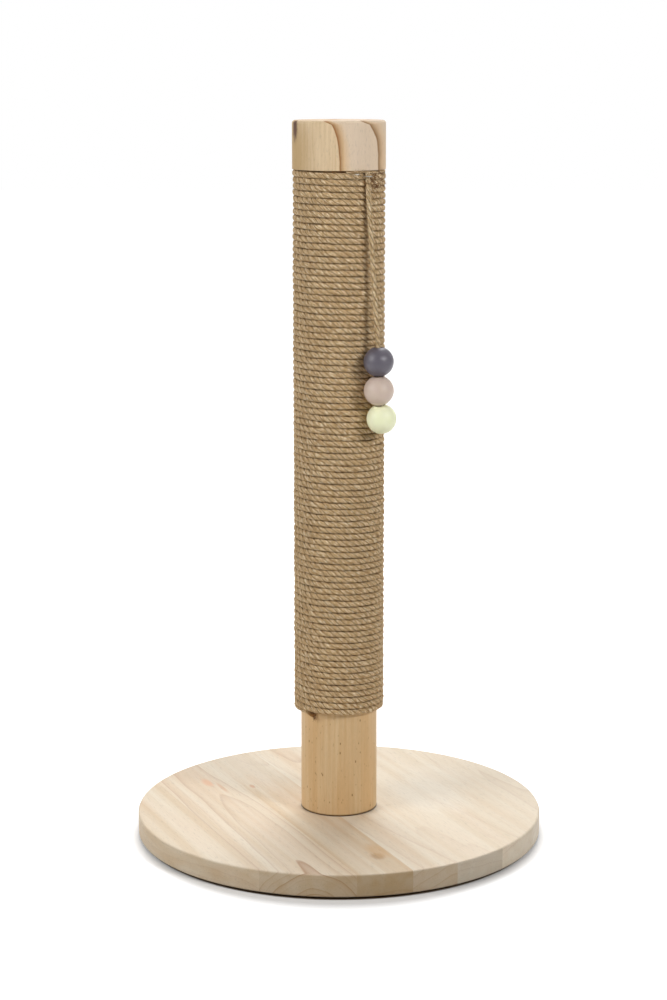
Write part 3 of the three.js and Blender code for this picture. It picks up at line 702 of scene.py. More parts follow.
core_radius = (core_high.x - core_low.x) / 2
pitch = (winding_high.z - winding_low.z) / (WINDING_TURNS + 1 - LEVEL_END_TURNS - LEVEL_START_TURNS)
section = ROPE_THICKNESS - ROPE_CLEARANCE
turns_each = WINDING_TURNS / WINDING_PIECES
windings = []
for i in range(WINDING_PIECES):
    piece = grown(f"rope_winding_{i + 1}", winding_tree, {
        "Low": winding_low.z, "High": winding_high.z, "Turns": WINDING_TURNS, "Pitch": pitch,
        "Bend Radius": core_radius + ROPE_CLEARANCE + section / 2,
        "First Turn": i * turns_each, "Last Turn": (i + 1) * turns_each,
        "End Azimuth": math.radians(ROPE_END_AZIMUTH), "Level End": LEVEL_END_TURNS,
        "Level Start": LEVEL_START_TURNS, "Rings": round(turns_each * RINGS_PER_TURN) + 1,
        "Thickness": section, "Lay Length": ROPE_LAY, "Groove Depth": 0.17, "Points per Strand": 6,
        "Wander": 1.2 * MM, "Droop": 2.5 * MM, "Unevenness": 0.24, "Flatness": 0.3}, jute_rope)
    windings.append(piece)
    hand_over(piece, "root", "jute_rope", "rope_winding")
print(f"rope winding: {WINDING_TURNS} turns, pitch {pitch / MM:.3f} mm")

# %% [markdown]
# ## Stray fibres
#
# Jute is never smooth. Thousands of fibre ends stand off the yarns, catch the light and soften the outline.
# The tree scatters points on a skin of rope, stands a short line on each, curls the lines with noise and
# gives each a three-sided section that thins towards its tip. The same tree, with longer and thicker fibres
# on a small patch, makes the frayed upper end beside the cord's staple and the glued tuft at the lower end.

# %% Tree and material: stray fibres
loose_fibre, tree = new_material("loose_jute_fibre")
place = add(tree, "ShaderNodeTexCoord").outputs["Object"]
shade = add(tree, NOISE, {"Vector": place, "Scale": 1 / (1.6 * MM), "Detail": 1.0})
shade_share = add(tree, MAP_RANGE, (shade, 0.35, 0.65))
darkness = add(tree, ATTRIBUTE, attribute_name="glue").outputs["Fac"]
straw = add(tree, MIX_COLOUR, (shade_share, "7d5f38", "f0dab2"))
finish_material(tree, {"Base Color": add(tree, MIX_COLOUR, (darkness, straw, "7c5128")),
                       "Roughness": 0.7, "Specular IOR Level": 0.3})

tree, given = new_tree("stray_fibres", {
    "Fibres per Square Metre": FLOAT, "Fibre Length": FLOAT, "Fibre Radius": FLOAT, "Lift": FLOAT,
    "Curl": FLOAT, "Lean": VECTOR, "Glue": FLOAT, "Seed": INTEGER})
scattered = add(tree, "GeometryNodeDistributePointsOnFaces",
                {"Mesh": given["Geometry"], "Density": given["Fibres per Square Metre"],
                 "Seed": given["Seed"]})
any_way = add(tree, "FunctionNodeRandomValue", {"Min": (-1, -1, -1), "Max": (1, 1, 1)},
              data_type="FLOAT_VECTOR")
lift_luck = add(tree, "FunctionNodeRandomValue", {"Min": 0.0, "Max": 1.0, "Seed": 5}, data_type="FLOAT")
lift = add(tree, MULTIPLY, (lift_luck, given["Lift"]))
normal = scattered.outputs["Normal"]
into = add(tree, VECTOR_DOT, (any_way, normal)).outputs["Value"]
outwards_by = add(tree, SUBTRACT, (lift, into))
lifted = add(tree, VECTOR_ADD, (any_way, add(tree, VECTOR_SCALE, (normal, outwards_by))))
direction = add(tree, VECTOR_ADD, (lifted, given["Lean"]))
aimed = add(tree, "FunctionNodeAlignRotationToVector", {"Vector": direction}, axis="Z")
straight = add(tree, "GeometryNodeCurvePrimitiveLine", {"End": (0, 0, 1)})
fibre = add(tree, "GeometryNodeResampleCurve", {"Curve": straight, "Count": 5}, mode="COUNT")
length_luck = add(tree, "FunctionNodeRandomValue", {"Min": 0.4, "Max": 1.4, "Seed": 9}, data_type="FLOAT")
fibre_length = add(tree, MULTIPLY, (length_luck, given["Fibre Length"]))
standing = add(tree, "GeometryNodeInstanceOnPoints",
               {"Points": scattered.outputs["Points"], "Instance": fibre, "Rotation": aimed,
                "Scale": fibre_length})
loose = add(tree, "GeometryNodeRealizeInstances", (standing,))
share = add(tree, "GeometryNodeSplineParameter").outputs["Factor"]
place = add(tree, "GeometryNodeInputPosition")
curl_noise = add(tree, NOISE, {"Vector": place, "Scale": 1 / (3 * MM), "Detail": 1.0})
swirl = add(tree, VECTOR_SUBTRACT, (curl_noise.outputs["Color"], (0.5, 0.5, 0.5)))
curl = add(tree, MULTIPLY, (share, given["Curl"]))
curled = add(tree, "GeometryNodeSetPosition",
             {"Geometry": loose, "Offset": add(tree, VECTOR_SCALE, (swirl, curl))})
thinner = add(tree, MAP_RANGE, (share, 0.0, 1.0, 1.0, 0.35))
tapered = add(tree, "GeometryNodeSetCurveRadius", {"Curve": curled, "Radius": thinner})
three_sides = add(tree, "GeometryNodeCurvePrimitiveCircle",
                  {"Resolution": 3, "Radius": given["Fibre Radius"]})
hairs = add(tree, "GeometryNodeCurveToMesh",
            {"Curve": tapered, "Profile Curve": three_sides,
             "Scale": add(tree, "GeometryNodeInputRadius"), "Fill Caps": True})
hairs_marked = add(tree, STORE_NUMBER, {"Geometry": hairs, "Name": "glue", "Value": given["Glue"]})
finish_tree(tree, hairs_marked, loose_fibre)
fibre_tree = tree
print("stray fibres:", len(tree.nodes), "nodes")

# %% Stray fibres on the winding and the cord
def fibres_on(name, skin, density, seed, changes, body="root", slot_name="jute_rope"):
    """Scatters fibres on a skin of rope, as a piece of its own that rides with it."""
    inputs = {"Fibres per Square Metre": density, "Fibre Length": 4.0 * MM, "Fibre Radius": 0.07 * MM,
              "Lift": 0.55, "Curl": 3.0 * MM, "Lean": (0, 0, 0), "Glue": 0.0, "Seed": seed, **changes}
    hand_over(grown(name, fibre_tree, inputs, loose_fibre, skin=skin), body, slot_name)


for i, winding in enumerate(windings):
    fibres_on(f"winding_fibres_{i + 1}", winding.data, 24000, i + 1, {})
fibres_on("cord_fibres", toy_cord.data, 60000, 7, {"Fibre Length": 3.0 * MM, "Fibre Radius": 0.06 * MM},
          "cord", "jute_cord")


def patch(azimuths, heights, radii):
    """A strip of the winding's surface, as a mesh for fibres to stand on."""
    steps = 12
    corners = []
    for i in range(steps + 1):
        azimuth = azimuths[0] + (azimuths[1] - azimuths[0]) * i / steps
        corners += [on_post(radius, azimuth, height) for radius, height in zip(radii, heights)]
    faces = [(2 * i, 2 * i + 2, 2 * i + 3, 2 * i + 1) for i in range(steps)]
    mesh = bpy.data.meshes.new("patch")
    mesh.from_pydata(corners, [], faces)
    return mesh


ROPE_STAPLE = (22.5, core_high.z - 3.2 * MM)     # the azimuth and the height of its crown
CORD_STAPLE = (35.0, core_high.z - 5.0 * MM)

surface_radius = winding_high.x
fibres_on("rope_start_fibres",
          patch((10, 40), (cap_low.z - 9 * MM, cap_low.z - 1.5 * MM),
                (surface_radius - 1.0 * MM, surface_radius - 1.0 * MM)), 350000, 21,
          {"Fibre Length": 4.5 * MM, "Fibre Radius": 0.22 * MM, "Lift": 0.4, "Curl": 2.0 * MM})
for label, glue, seed in (("pale", 0.0, 22), ("dark", 0.9, 24)):
    fibres_on(f"rope_start_frayed_{label}",
              patch((40, 84), (cap_low.z - 17 * MM, cap_low.z - 0.5 * MM),
                    (surface_radius - 0.9 * MM, surface_radius - 0.5 * MM)), 420000, seed,
              {"Fibre Length": 5.5 * MM, "Fibre Radius": 0.4 * MM, "Lift": 0.4, "Curl": 4.0 * MM,
               "Lean": (-0.5, -0.7, -0.8), "Glue": glue})
for label, (azimuth, height), radius in (("rope", ROPE_STAPLE, surface_radius),
                                         ("cord", CORD_STAPLE, surface_radius + CORD_DIAMETER)):
    fibres_on(f"{label}_staple_fibres",
              patch((azimuth - 6, azimuth + 6), (height - 2.2 * MM, height + 1.2 * MM),
                    (radius, radius + 2.2 * MM)), 600000, 31,
              {"Fibre Length": 3.2 * MM, "Fibre Radius": 0.24 * MM, "Lift": 0.2, "Curl": 2.0 * MM,
               "Lean": (0, 0, 0.5), "Glue": 0.2})
fibres_on("rope_end_tuft",
          patch((-37, -33), (winding_low.z - 2.6 * MM, winding_low.z - 0.5 * MM),
                (core_radius + 3.5 * MM, core_radius + 4.5 * MM)), 3500000, 23,
          {"Fibre Length": 4.0 * MM, "Fibre Radius": 0.19 * MM, "Lift": 0.2, "Curl": 1.5 * MM,
           "Lean": (0, 0, -2), "Glue": 0.75})

# %% [markdown]
# ## The base
#
# The base is seven boards of a pale hardwood, glued edge to edge, sawn round, its edges rounded over and
# the whole sanded and oiled. Each board is its own piece, because the grain jumps at every joint. A board
# is a slice of the disc: for each level of the rounded rim, its outline is an arc at the front, an arc at
# the back and the two straight joints, and the levels are stacked like rings.

# %% [markdown]
# Wood looks real when its grain is solid: growth rings are nearly cylinders about the tree's pith, so where
# the flat top cuts them they draw long flames, and where the rim cuts them they draw arcs. The material
# measures the distance to each board's own pith line. Its place is stored on the board, which lets one
# material serve all seven. End grain drinks more oil, so it is darker where the rim faces along the boards.

# %% Wood helpers
def solid_wood(name):
    """A material and its tree, and the place in millimetres that its grain is drawn in."""
    material, tree = new_material(name)
    place = add(tree, "ShaderNodeTexCoord").outputs["Object"]
    return material, tree, add(tree, VECTOR_SCALE, (place, 1 / MM))


def grain(tree, place, sizes, detail=2.0, roughness=0.5):
    """Noise drawn out to sizes in millimetres along the three axes of a place in millimetres."""
    drawn_out = add(tree, VECTOR_MULTIPLY, (place, tuple(1 / size for size in sizes)))
    return add(tree, NOISE, {"Vector": drawn_out, "Scale": 1.0, "Detail": detail, "Roughness": roughness})


def spot(tree, place, centre, size, ragged):
    """How far a place is inside an ellipsoid with a ragged edge, from 1 in its heart to 0 outside."""
    offset = add(tree, VECTOR_SUBTRACT, (place, centre))
    share = add(tree, VECTOR_DIVIDE, (offset, size))
    reach = add(tree, VECTOR_LENGTH, (share,)).outputs["Value"]
    edge = add(tree, MULTIPLY_ADD, (ragged, 0.9, reach))
    return add(tree, SMOOTH_RANGE, (edge, 0.8, 1.5, 1.0, 0.0))


def oiled(tree, colour, shade, roughness, relief):
    """Ends a wood's tree: a sanded and oiled surface, shaded in its pores and with the grain in relief."""
    shaded = add(tree, VECTOR_SCALE, (colour, shade))
    finish_material(tree, {"Base Color": shaded, "Roughness": roughness, "IOR": 1.45,
                           "Specular IOR Level": 0.3}, (0.5, *relief))


# %% Pale board material
BOARD_AZIMUTH = 24.0
RING_WIDTH_MM = 5.2
FOOT_SHADE_REACH_MM = 0.9          # painted shade reaches this far round the post's foot
panel_low, panel_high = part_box("base_stave_4")
panel_bottom, panel_top = (round(corner.z / MM, 3) for corner in (panel_low, panel_high))
foot_radius = round(core_radius / MM, 3)
PATCHES = [  # paler and darker places: across, along and up, the reach each way, the colour, the share
    # The first three rows are painted light: paler places where the side soft boxes throw the post's shadow.
    ((-44, 150, 24), (48, 105, 14), "f0e6d4", 0.55),
    ((95, -10, 24), (46, 70, 14), "f6eedf", 0.5),
    ((128, 40, 24), (40, 60, 14), "f6eedf", 0.3),
    ((-96, 118, 24), (6, 17, 30), "ecb48c", 0.55),
    ((-88, 96, 24), (2.6, 22, 30), "d9ad88", 0.55),
    ((-58, 88, 24), (3.2, 7, 30), "cf9a74", 0.65),
    ((-50, 108, 24), (9, 26, 30), "e6cdb0", 0.35),
    ((-28, -152, 24), (8, 12, 30), "b0855a", 0.6),
    ((-22, -138, 24), (11, 26, 30), "d3a873", 0.5),
]

board_wood, tree, place = solid_wood("oiled_pale_boards")
board_space = add(tree, "ShaderNodeMapping",
                  {"Vector": place, "Rotation": (0, 0, -math.radians(BOARD_AZIMUTH))})
across, lengthwise, height = add(tree, SEPARATE, (board_space,)).outputs
pith = add(tree, ATTRIBUTE, attribute_name="pith").outputs["Vector"]
pith_across, pith_height, pith_slope = add(tree, SEPARATE, (pith,)).outputs
look = add(tree, ATTRIBUTE, attribute_name="board_look").outputs["Vector"]
tone, ring_depth, end_depth = add(tree, SEPARATE, (look,)).outputs
own_space = add(tree, VECTOR_ADD, (board_space, pith))

slow = grain(tree, own_space, (38, 240, 38))
wander = add(tree, MULTIPLY, (add(tree, SUBTRACT, (slow, 0.5)), 11.0))
pith_rise = add(tree, MULTIPLY_ADD, (lengthwise, pith_slope, pith_height))
from_pith = add(tree, COMBINE,
                (add(tree, SUBTRACT, (across, pith_across)), add(tree, SUBTRACT, (height, pith_rise))))
distance = add(tree, VECTOR_LENGTH, (from_pith,)).outputs["Value"]
grown_out = add(tree, ADD, (distance, wander))
ring_place = add(tree, DIVIDE, (grown_out, RING_WIDTH_MM))
ring_share = add(tree, MATH, (ring_place,), operation="FRACT")
ring_luck = add(tree, "ShaderNodeTexWhiteNoise", {"W": add(tree, MATH, (ring_place,), operation="FLOOR")},
                noise_dimensions="1D").outputs["Value"]
year_end = add(tree, MAP_RANGE, (ring_share, 0.95, 1.0, 1.0, 0.0))
late = add(tree, MULTIPLY, (add(tree, POWER, (ring_share, 8.0)), year_end))
marked_year = add(tree, MAP_RANGE, (ring_luck, 0.4, 1.0, 0.0, 0.9))
ring_line = add(tree, MULTIPLY, (marked_year, late))
warm_year = add(tree, MAP_RANGE, (ring_luck, 0.5, 0.95))
ring_band = add(tree, MULTIPLY, (warm_year, ring_share))

normal = add(tree, "ShaderNodeNewGeometry").outputs["Normal"]
board_angle = math.radians(BOARD_AZIMUTH)
board_direction = (-math.sin(board_angle), math.cos(board_angle), 0)
facing = add(tree, VECTOR_DOT, (normal, board_direction)).outputs["Value"]
end_share = add(tree, MAP_RANGE, (add(tree, MULTIPLY, (facing, facing)), 0.08, 0.85))

bands = grain(tree, own_space, (11, 500, 11), 1.0)
broad = grain(tree, own_space, (26, 260, 26), 1.0)
fine = grain(tree, board_space, (1.0, 26, 1.0), 3.0, 0.55)
flecks = grain(tree, board_space, (1.1, 9, 1.1), 1.0)
band_reach = add(tree, MAP_RANGE, (tone, 0.0, 0.25, 0.3, 0.8))
banded = add(tree, MULTIPLY_ADD, (add(tree, MAP_RANGE, (bands, 0.32, 0.68, -0.3, 0.34)), band_reach, tone))
peach = add(tree, MULTIPLY, (add(tree, MAP_RANGE, (broad, 0.45, 0.68, 0.0, 0.5)), band_reach))
band_ink = add(tree, MULTIPLY, (ring_band, add(tree, MULTIPLY, (ring_depth, 0.34))))
ink_depth = add(tree, MULTIPLY_ADD, (end_share, 0.5, ring_depth))
ring_ink = add(tree, MULTIPLY, (ink_depth, ring_line))
colour = stained_and_shaded(tree, add(tree, MIX_COLOUR, (banded, "ecdfca", "cfaf84")),
                 (peach, "e6cbb0"), (band_ink, "cda98a"), (ring_ink, "a67a5c"))
for centre, size, layer_colour, share in PATCHES:
    inside = add(tree, MULTIPLY, (spot(tree, board_space, centre, size, fine), share))
    colour = add(tree, MIX_COLOUR, (inside, colour, layer_colour))
end_ink = add(tree, MULTIPLY, (end_share, end_depth))
end_grain = add(tree, MIX_COLOUR, (add(tree, MAP_RANGE, (tone, 0.1, 0.2)), "8f8678", "8d734f"))
upright = add(tree, MAP_RANGE, (add(tree, SEPARATE, (normal,)).outputs["Z"], 0.8, 0.2))
rim_share = add(tree, MULTIPLY, (add(tree, MAP_RANGE, (tone, 0.05, 0.2, 0.0, 0.3)), upright))
flat_place = add(tree, VECTOR_MULTIPLY, (place, (1, 1, 0)))
from_post = add(tree, VECTOR_LENGTH, (flat_place,)).outputs["Value"]
# Painted shade: a dark ring on the top of the boards round the post's foot.
near_post = add(tree, MAP_RANGE, (from_post, foot_radius, foot_radius + FOOT_SHADE_REACH_MM, 0.45, 0.0))
on_top = add(tree, MAP_RANGE, (height, panel_top - 2.0, panel_top - 0.5))
painted_post_foot_shade = add(tree, MULTIPLY, (near_post, on_top))
# Painted shade: the boards darken towards their underside, along the rim's lowest edge.
underside = add(tree, MAP_RANGE, (height, panel_bottom, panel_bottom + 1.6, 0.7, 0.0))
colour = stained_and_shaded(tree, colour, (end_ink, end_grain), (rim_share, "b0905e"), (painted_post_foot_shade, "5e4020"),
                 (underside, "5e4830"))
shade = add(tree, MULTIPLY, (add(tree, MAP_RANGE, (fine, 0.35, 0.7, 1.0, 0.94)),
                             add(tree, MAP_RANGE, (flecks, 0.58, 0.8, 1.0, 0.85))))
oiled(tree, colour, shade, 0.55, (0.08 * MM, add(tree, MULTIPLY_ADD, (fine, 0.6, ring_line))))
print("board wood:", len(tree.nodes), "nodes")

# %% Saw the boards
BOARD_JOINTS = [joint * MM for joint in (-143, -66, -14, 33, 90, 146)]
GLUE_LINE = 0.05 * MM
PANEL_EDGE_RADIUS = 2.0 * MM
ARC_STEP = math.radians(1.5)
BOLT_HOLE_RADIUS = 4.3 * MM
COUNTERBORE_RADIUS = 11.0 * MM
BOARDS = [  # the pith's place across and its height in mm, its slope; then tone, rings, end grain
    ((-176, -38, 0.02), (0.27, 0.45, 0.2)),
    ((-99, -15.3, -0.029), (0.20, 1.15, 0.48)),
    ((-30, -88, 0.05), (0.42, 0.45, 0.58)),
    ((42, -60, 0.04), (0.16, 0.35, 0.42)),
    ((48, -150, -0.03), (0.07, 0.35, 0.42)),
    ((150, -125, 0.045), (0.08, 0.40, 0.14)),
    ((185, -70, -0.02), (0.04, 0.30, 0.12)),
]

panel_radius = cad_box[1].x
rim_levels = edges_rounded(panel_radius, panel_low.z, panel_high.z, PANEL_EDGE_RADIUS, PANEL_EDGE_RADIUS,
                           6, 6)
along_boards = Matrix.Rotation(math.radians(BOARD_AZIMUTH), 4, "Z")
bolt_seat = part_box("base_washer")[1].z


def board(name, left, right, **stored):
    """A slice of the round panel between two joints, with what the material reads stored on it."""
    steps = math.ceil((math.asin(right / panel_radius) - math.asin(left / panel_radius)) / ARC_STEP)
    work = bmesh.new()
    levels = []
    for radius, height in rim_levels:
        start, end = (math.asin(max(-1.0, min(1.0, side / radius))) for side in (left, right))
        angles = [start + (end - start) * i / steps for i in range(steps + 1)]
        front = [Vector((radius * math.sin(a), -radius * math.cos(a), height)) for a in angles]
        back = [Vector((point.x, -point.y, height)) for point in reversed(front)]
        levels.append([work.verts.new(along_boards @ point) for point in front + back])
    for lower, upper in zip(levels, levels[1:]):
        for i in range(len(lower)):
            j = (i + 1) % len(lower)
            work.faces.new((lower[i], lower[j], upper[j], upper[i]))
    work.faces.new(reversed(levels[0]))
    work.faces.new(levels[-1])
    bmesh.ops.remove_doubles(work, verts=work.verts, dist=0.001 * MM)
    mesh = bpy.data.meshes.new(name)
    work.to_mesh(mesh)
    work.free()
    if left < 0 < right:
        mesh = bored_for_bolt(mesh)
    for label, vector in stored.items():
        attribute = mesh.attributes.new(label, "FLOAT_VECTOR", "POINT")
        attribute.data.foreach_set("vector", vector * len(mesh.vertices))
    return new_piece(name, mesh, board_wood)


def bored_for_bolt(mesh):
    """The middle board with its bolt hole and the counterbore under it."""
    margin = 1 * MM
    cutter = turned("bolt_cutter", [
        (0, panel_low.z - margin), (COUNTERBORE_RADIUS, panel_low.z - margin),
        (COUNTERBORE_RADIUS, bolt_seat), (BOLT_HOLE_RADIUS, bolt_seat),
        (BOLT_HOLE_RADIUS, panel_high.z + margin), (0, panel_high.z + margin)], SMALL_SEGMENTS, board_wood)
    blank = bpy.data.objects.new("bored_board", mesh)
    scene.collection.objects.link(blank)
    modifier = blank.modifiers.new("bore", "BOOLEAN")
    modifier.object = cutter
    modifier.operation = "DIFFERENCE"
    modifier.solver = "EXACT"
    graph = bpy.context.evaluated_depsgraph_get()
    bored = bpy.data.meshes.new_from_object(blank.evaluated_get(graph), depsgraph=graph)
    bpy.data.objects.remove(blank)
    bpy.data.objects.remove(cutter)
    return bored


edges = [-panel_radius, *BOARD_JOINTS, panel_radius]
for i, (pith, look) in enumerate(BOARDS):
    left = edges[i] + (GLUE_LINE / 2 if i else 0)
    right = edges[i + 1] - (GLUE_LINE / 2 if i < len(BOARDS) - 1 else 0)
    piece = board(f"base_board_{i + 1}", left, right, pith=pith, board_look=look)
    hand_over(piece, "root", "panel_wood", f"base_stave_{i + 1}")
print("base boards:", len(BOARDS))

# %% [markdown]
# ## The core
#
# The core is a turned beech post. Beech has hardly any visible rings on its side: what marks it are its
# rays, short dark flecks a millimetre or two long that stand upright, over faint streaks. Cells of a Voronoi
# pattern drawn out along the post give them: only where a cell's middle happens to lie in the surface does
# it show. Where the foot meets the base, a thin dark line is painted as shade.

# %% Beech material
RAY_INK = "8c5c32"

core_wood, tree, place = solid_wood("turned_beech")
streaks = grain(tree, place, (3.4, 3.4, 120), 3.0, 0.6)
broad = grain(tree, place, (20, 20, 150), 1.0)
pores = grain(tree, place, (0.9, 0.9, 6))
streaked = add(tree, MIX_COLOUR, (add(tree, MAP_RANGE, (streaks, 0.35, 0.68)), "e3c69b", "d9b686"))
tanned = add(tree, MAP_RANGE, (broad, 0.4, 0.7, 0.0, 0.5))
colour = add(tree, MIX_COLOUR, (tanned, streaked, "ddb580"))
chance = grain(tree, place, (14, 14, 30))
ray_chance = add(tree, MAP_RANGE, (chance, 0.36, 0.5))
relief = pores
for cell, least, most, ink in (((5.4, 5.4, 12), 0.06, 0.15, 0.8), ((3.2, 3.2, 8), 0.08, 0.18, 0.4)):
    ray_space = add(tree, VECTOR_DIVIDE, (place, cell))
    rays = add(tree, "ShaderNodeTexVoronoi", {"Vector": ray_space, "Scale": 1.0}).outputs["Distance"]
    ray = add(tree, SMOOTH_RANGE, (rays, least, most, ink, 0.0))
    ray_ink = add(tree, MULTIPLY, (ray, ray_chance))
    colour = add(tree, MIX_COLOUR, (ray_ink, colour, RAY_INK))
    relief = add(tree, SUBTRACT, (relief, ray_ink))
height = add(tree, SEPARATE, (place,)).outputs["Z"]
# Painted shade: a thin dark line at the foot, where the core meets the base.
foot = add(tree, MAP_RANGE, (height, core_low.z / MM + 0.8, core_low.z / MM + 2.2, 0.95, 0.0))
shade = add(tree, MAP_RANGE, (pores, 0.35, 0.75, 1.0, 0.93))
oiled(tree, add(tree, MIX_COLOUR, (foot, colour, "452c14")), shade, 0.5, (0.06 * MM, relief))
print("beech:", len(tree.nodes), "nodes")

# %% Turn the core
CORE_EDGE = 1.0 * MM
INSERT_HOLE_RADIUS = 6.3 * MM
FLANGE_HOLE_RADIUS = 8.3 * MM
SCREW_HOLE_RADIUS = 4.3 * MM
FLANGE_HOLE_DEPTH = 1.8 * MM
INSERT_HOLE_DEPTH = 22.3 * MM
PAST_BOLT = 5.0 * MM

bolt_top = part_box("base_bolt")[1].z + PAST_BOLT
screw_low, screw_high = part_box("cap_screw")
hole_clearance = 0.3 * MM
insert_top = core_low.z + INSERT_HOLE_DEPTH
flange_top = core_low.z + FLANGE_HOLE_DEPTH
screw_bottom = screw_low.z - hole_clearance
foot_bore = [(0, bolt_top), (SCREW_HOLE_RADIUS, bolt_top), (SCREW_HOLE_RADIUS, insert_top),
             (INSERT_HOLE_RADIUS, insert_top), (INSERT_HOLE_RADIUS, flange_top),
             (FLANGE_HOLE_RADIUS, flange_top), (FLANGE_HOLE_RADIUS, core_low.z)]
core_side = edges_rounded(core_radius, core_low.z, core_high.z, CORE_EDGE, CORE_EDGE, 4, 4)
screw_bore = [(SCREW_HOLE_RADIUS, core_high.z), (SCREW_HOLE_RADIUS, screw_bottom), (0, screw_bottom)]
post_core = turned("post_core_turned", foot_bore + core_side + screw_bore, POST_SEGMENTS, core_wood)
hand_over(post_core, "root", "core_wood", "post_core")
print("core:", round(core_radius * 2 / MM, 1), "mm across")

# %% [markdown]
# ## The cap
#
# The cap is turned from a paler wood with its grain upright. Two resin streaks run up its side and lean over
# near the top, and a brown bark pocket sits at its upper left. A streak is where one growth ring is cut, so
# it is drawn as a level of one smooth field: sharp on its inner side and fading outwards.

# %% Cap material
STREAKS_MM = [(6.6, 0.9, "8f5122"), (40.0, 0.75, "875a30")]     # the level, its width and its colour
STREAK_LEAN_MM = 9.0
STREAK_HOOK_MM = 7.0
FIELD_DIRECTION = (0.99, -0.136, 0.0)
BARK_MM = ((-42.0, -17.0, 693.0), (5.5, 8.5, 16.0))

cap_wood, tree, place = solid_wood("turned_streaked_wood")
height = add(tree, SEPARATE, (place,)).outputs["Z"]
soft = grain(tree, place, (22, 22, 22))
fine = grain(tree, place, (2.2, 2.2, 55), 3.0, 0.6)
flecks = grain(tree, place, (0.9, 0.9, 4.5), 1.0)
cap_share = add(tree, MAP_RANGE, (height, cap_low.z / MM, cap_high.z / MM))
lean = add(tree, MULTIPLY, (add(tree, POWER, (cap_share, 3.0)), STREAK_LEAN_MM))
hook = add(tree, MAP_RANGE, (cap_share, 0.92, 1.0, 0.0, STREAK_HOOK_MM))
flat_field = add(tree, VECTOR_DOT, (place, FIELD_DIRECTION)).outputs["Value"]
leaning = add(tree, ADD, (flat_field, add(tree, ADD, (lean, hook))))
field = add(tree, ADD, (leaning, add(tree, MAP_RANGE, (soft, 0.0, 1.0, -1.5, 1.5))))

pale = add(tree, MIX_COLOUR, (add(tree, MAP_RANGE, (fine, 0.35, 0.7)), "e9d0ac", "d9bd94"))
rosy = add(tree, MAP_RANGE, (field, 9.0, 16.0, 0.0, 0.75))
far_left = add(tree, SMOOTH_RANGE, (field, -44.0, -10.0, 0.85, 0.0))
colour = stained_and_shaded(tree, pale, (rosy, "e7d2bb"), (far_left, "b89762"))
for level, width, line_colour in STREAKS_MM:
    past = add(tree, SUBTRACT, (field, level))
    sharp_side = add(tree, MAP_RANGE, (past, -0.4, 0.4))
    gold = add(tree, MULTIPLY, (sharp_side, add(tree, MAP_RANGE, (past, 0.0, 11.0, 0.6, 0.0))))
    reach = add(tree, MAP_RANGE, (cap_share, 0.2, 1.0, 6.0 * width, 11.0 * width))
    fading = add(tree, MAP_RANGE, (add(tree, DIVIDE, (past, reach)), 0.0, 1.0, 1.0, 0.0))
    line = add(tree, MULTIPLY, (sharp_side, add(tree, POWER, (fading, 2.0))))
    colour = stained_and_shaded(tree, colour, (gold, "dcb272"), (line, line_colour))
bark = spot(tree, place, *BARK_MM, flecks)
# Painted shade: a darker band along the cap's top edge.
edge = add(tree, MAP_RANGE, (height, cap_high.z / MM - 1.2, cap_high.z / MM, 0.0, 0.55))
colour = stained_and_shaded(tree, colour, (bark, "553521"), (edge, "9a7645"))
shade = add(tree, MAP_RANGE, (flecks, 0.58, 0.75, 1.0, 0.86))
oiled(tree, colour, shade, 0.55, (0.06 * MM, fine))
print("cap wood:", len(tree.nodes), "nodes")

# %% Turn the cap
CAP_TOP_RADIUS = 3.0 * MM
CAP_FOOT_RADIUS = 0.6 * MM

cap_radius = (cap_high.x - cap_low.x) / 2
screw_top = screw_high.z + hole_clearance
cap_bore = [(0, screw_top), (SCREW_HOLE_RADIUS, screw_top), (SCREW_HOLE_RADIUS, cap_low.z)]
cap_side = edges_rounded(cap_radius, cap_low.z, cap_high.z, CAP_FOOT_RADIUS, CAP_TOP_RADIUS, 4, 8)
top_cap = turned("top_cap_turned", cap_bore + cap_side + [(0, cap_high.z)], POST_SEGMENTS, cap_wood)
hand_over(top_cap, "root", "cap_wood", "top_cap")
print("cap:", round(cap_radius * 2 / MM, 1), "mm across")

# %% [markdown]
# ## Staples and hidden hardware
#
# Staples are bent from zinc-plated wire: a crown with a small bend at each corner and two legs that go
# through the rope into the core. The tree rounds the corners of a four-point line and sweeps a round section
# along it. The bolt, washer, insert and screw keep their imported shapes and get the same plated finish.

# %% Zinc-plated steel
zinc, tree = new_material("zinc_plated_steel")
place = add(tree, "ShaderNodeTexCoord").outputs["Object"]
bloom = add(tree, NOISE, {"Vector": place, "Scale": 1 / (3 * MM), "Detail": 3.0})
tint = add(tree, MIX_COLOUR, (bloom, "b5b2a9", "8f8b80"))
gloss = add(tree, MAP_RANGE, (bloom, 0.0, 1.0, 0.35, 0.55))
finish_material(tree, {"Base Color": tint, "Metallic": 1.0, "Roughness": gloss}, (0.2, 0.02 * MM, bloom))

for node_name in ("base_bolt", "base_washer", "core_insert", "cap_screw"):
    for material_slot in frame["nodes"][node_name].material_slots:
        material_slot.material = zinc
print("zinc: staples and four hidden pieces")

# %% Tree: bent wire, and the two staples
STAPLE_WIRE = 1.0 * MM
STAPLE_LEG = 16.0 * MM
STAPLE_BEND = 1.1 * MM
ROPE_STAPLE_WIDTH = 3.4 * MM

tree, given = new_tree("bent_wire", {"Wire": FLOAT, "Bend": FLOAT})
line = add(tree, "GeometryNodeMeshToCurve", (given["Geometry"],))
bent = add(tree, "GeometryNodeFilletCurve", {"Curve": line, "Count": 6, "Radius": given["Bend"]},
           mode="POLY")
wire_radius = add(tree, MULTIPLY, (given["Wire"], 0.5))
section_circle = add(tree, "GeometryNodeCurvePrimitiveCircle", {"Resolution": 16, "Radius": wire_radius})
wire = add(tree, "GeometryNodeCurveToMesh",
           {"Curve": bent, "Profile Curve": section_circle, "Fill Caps": True})
finish_tree(tree, wire, zinc)
wire_tree = tree


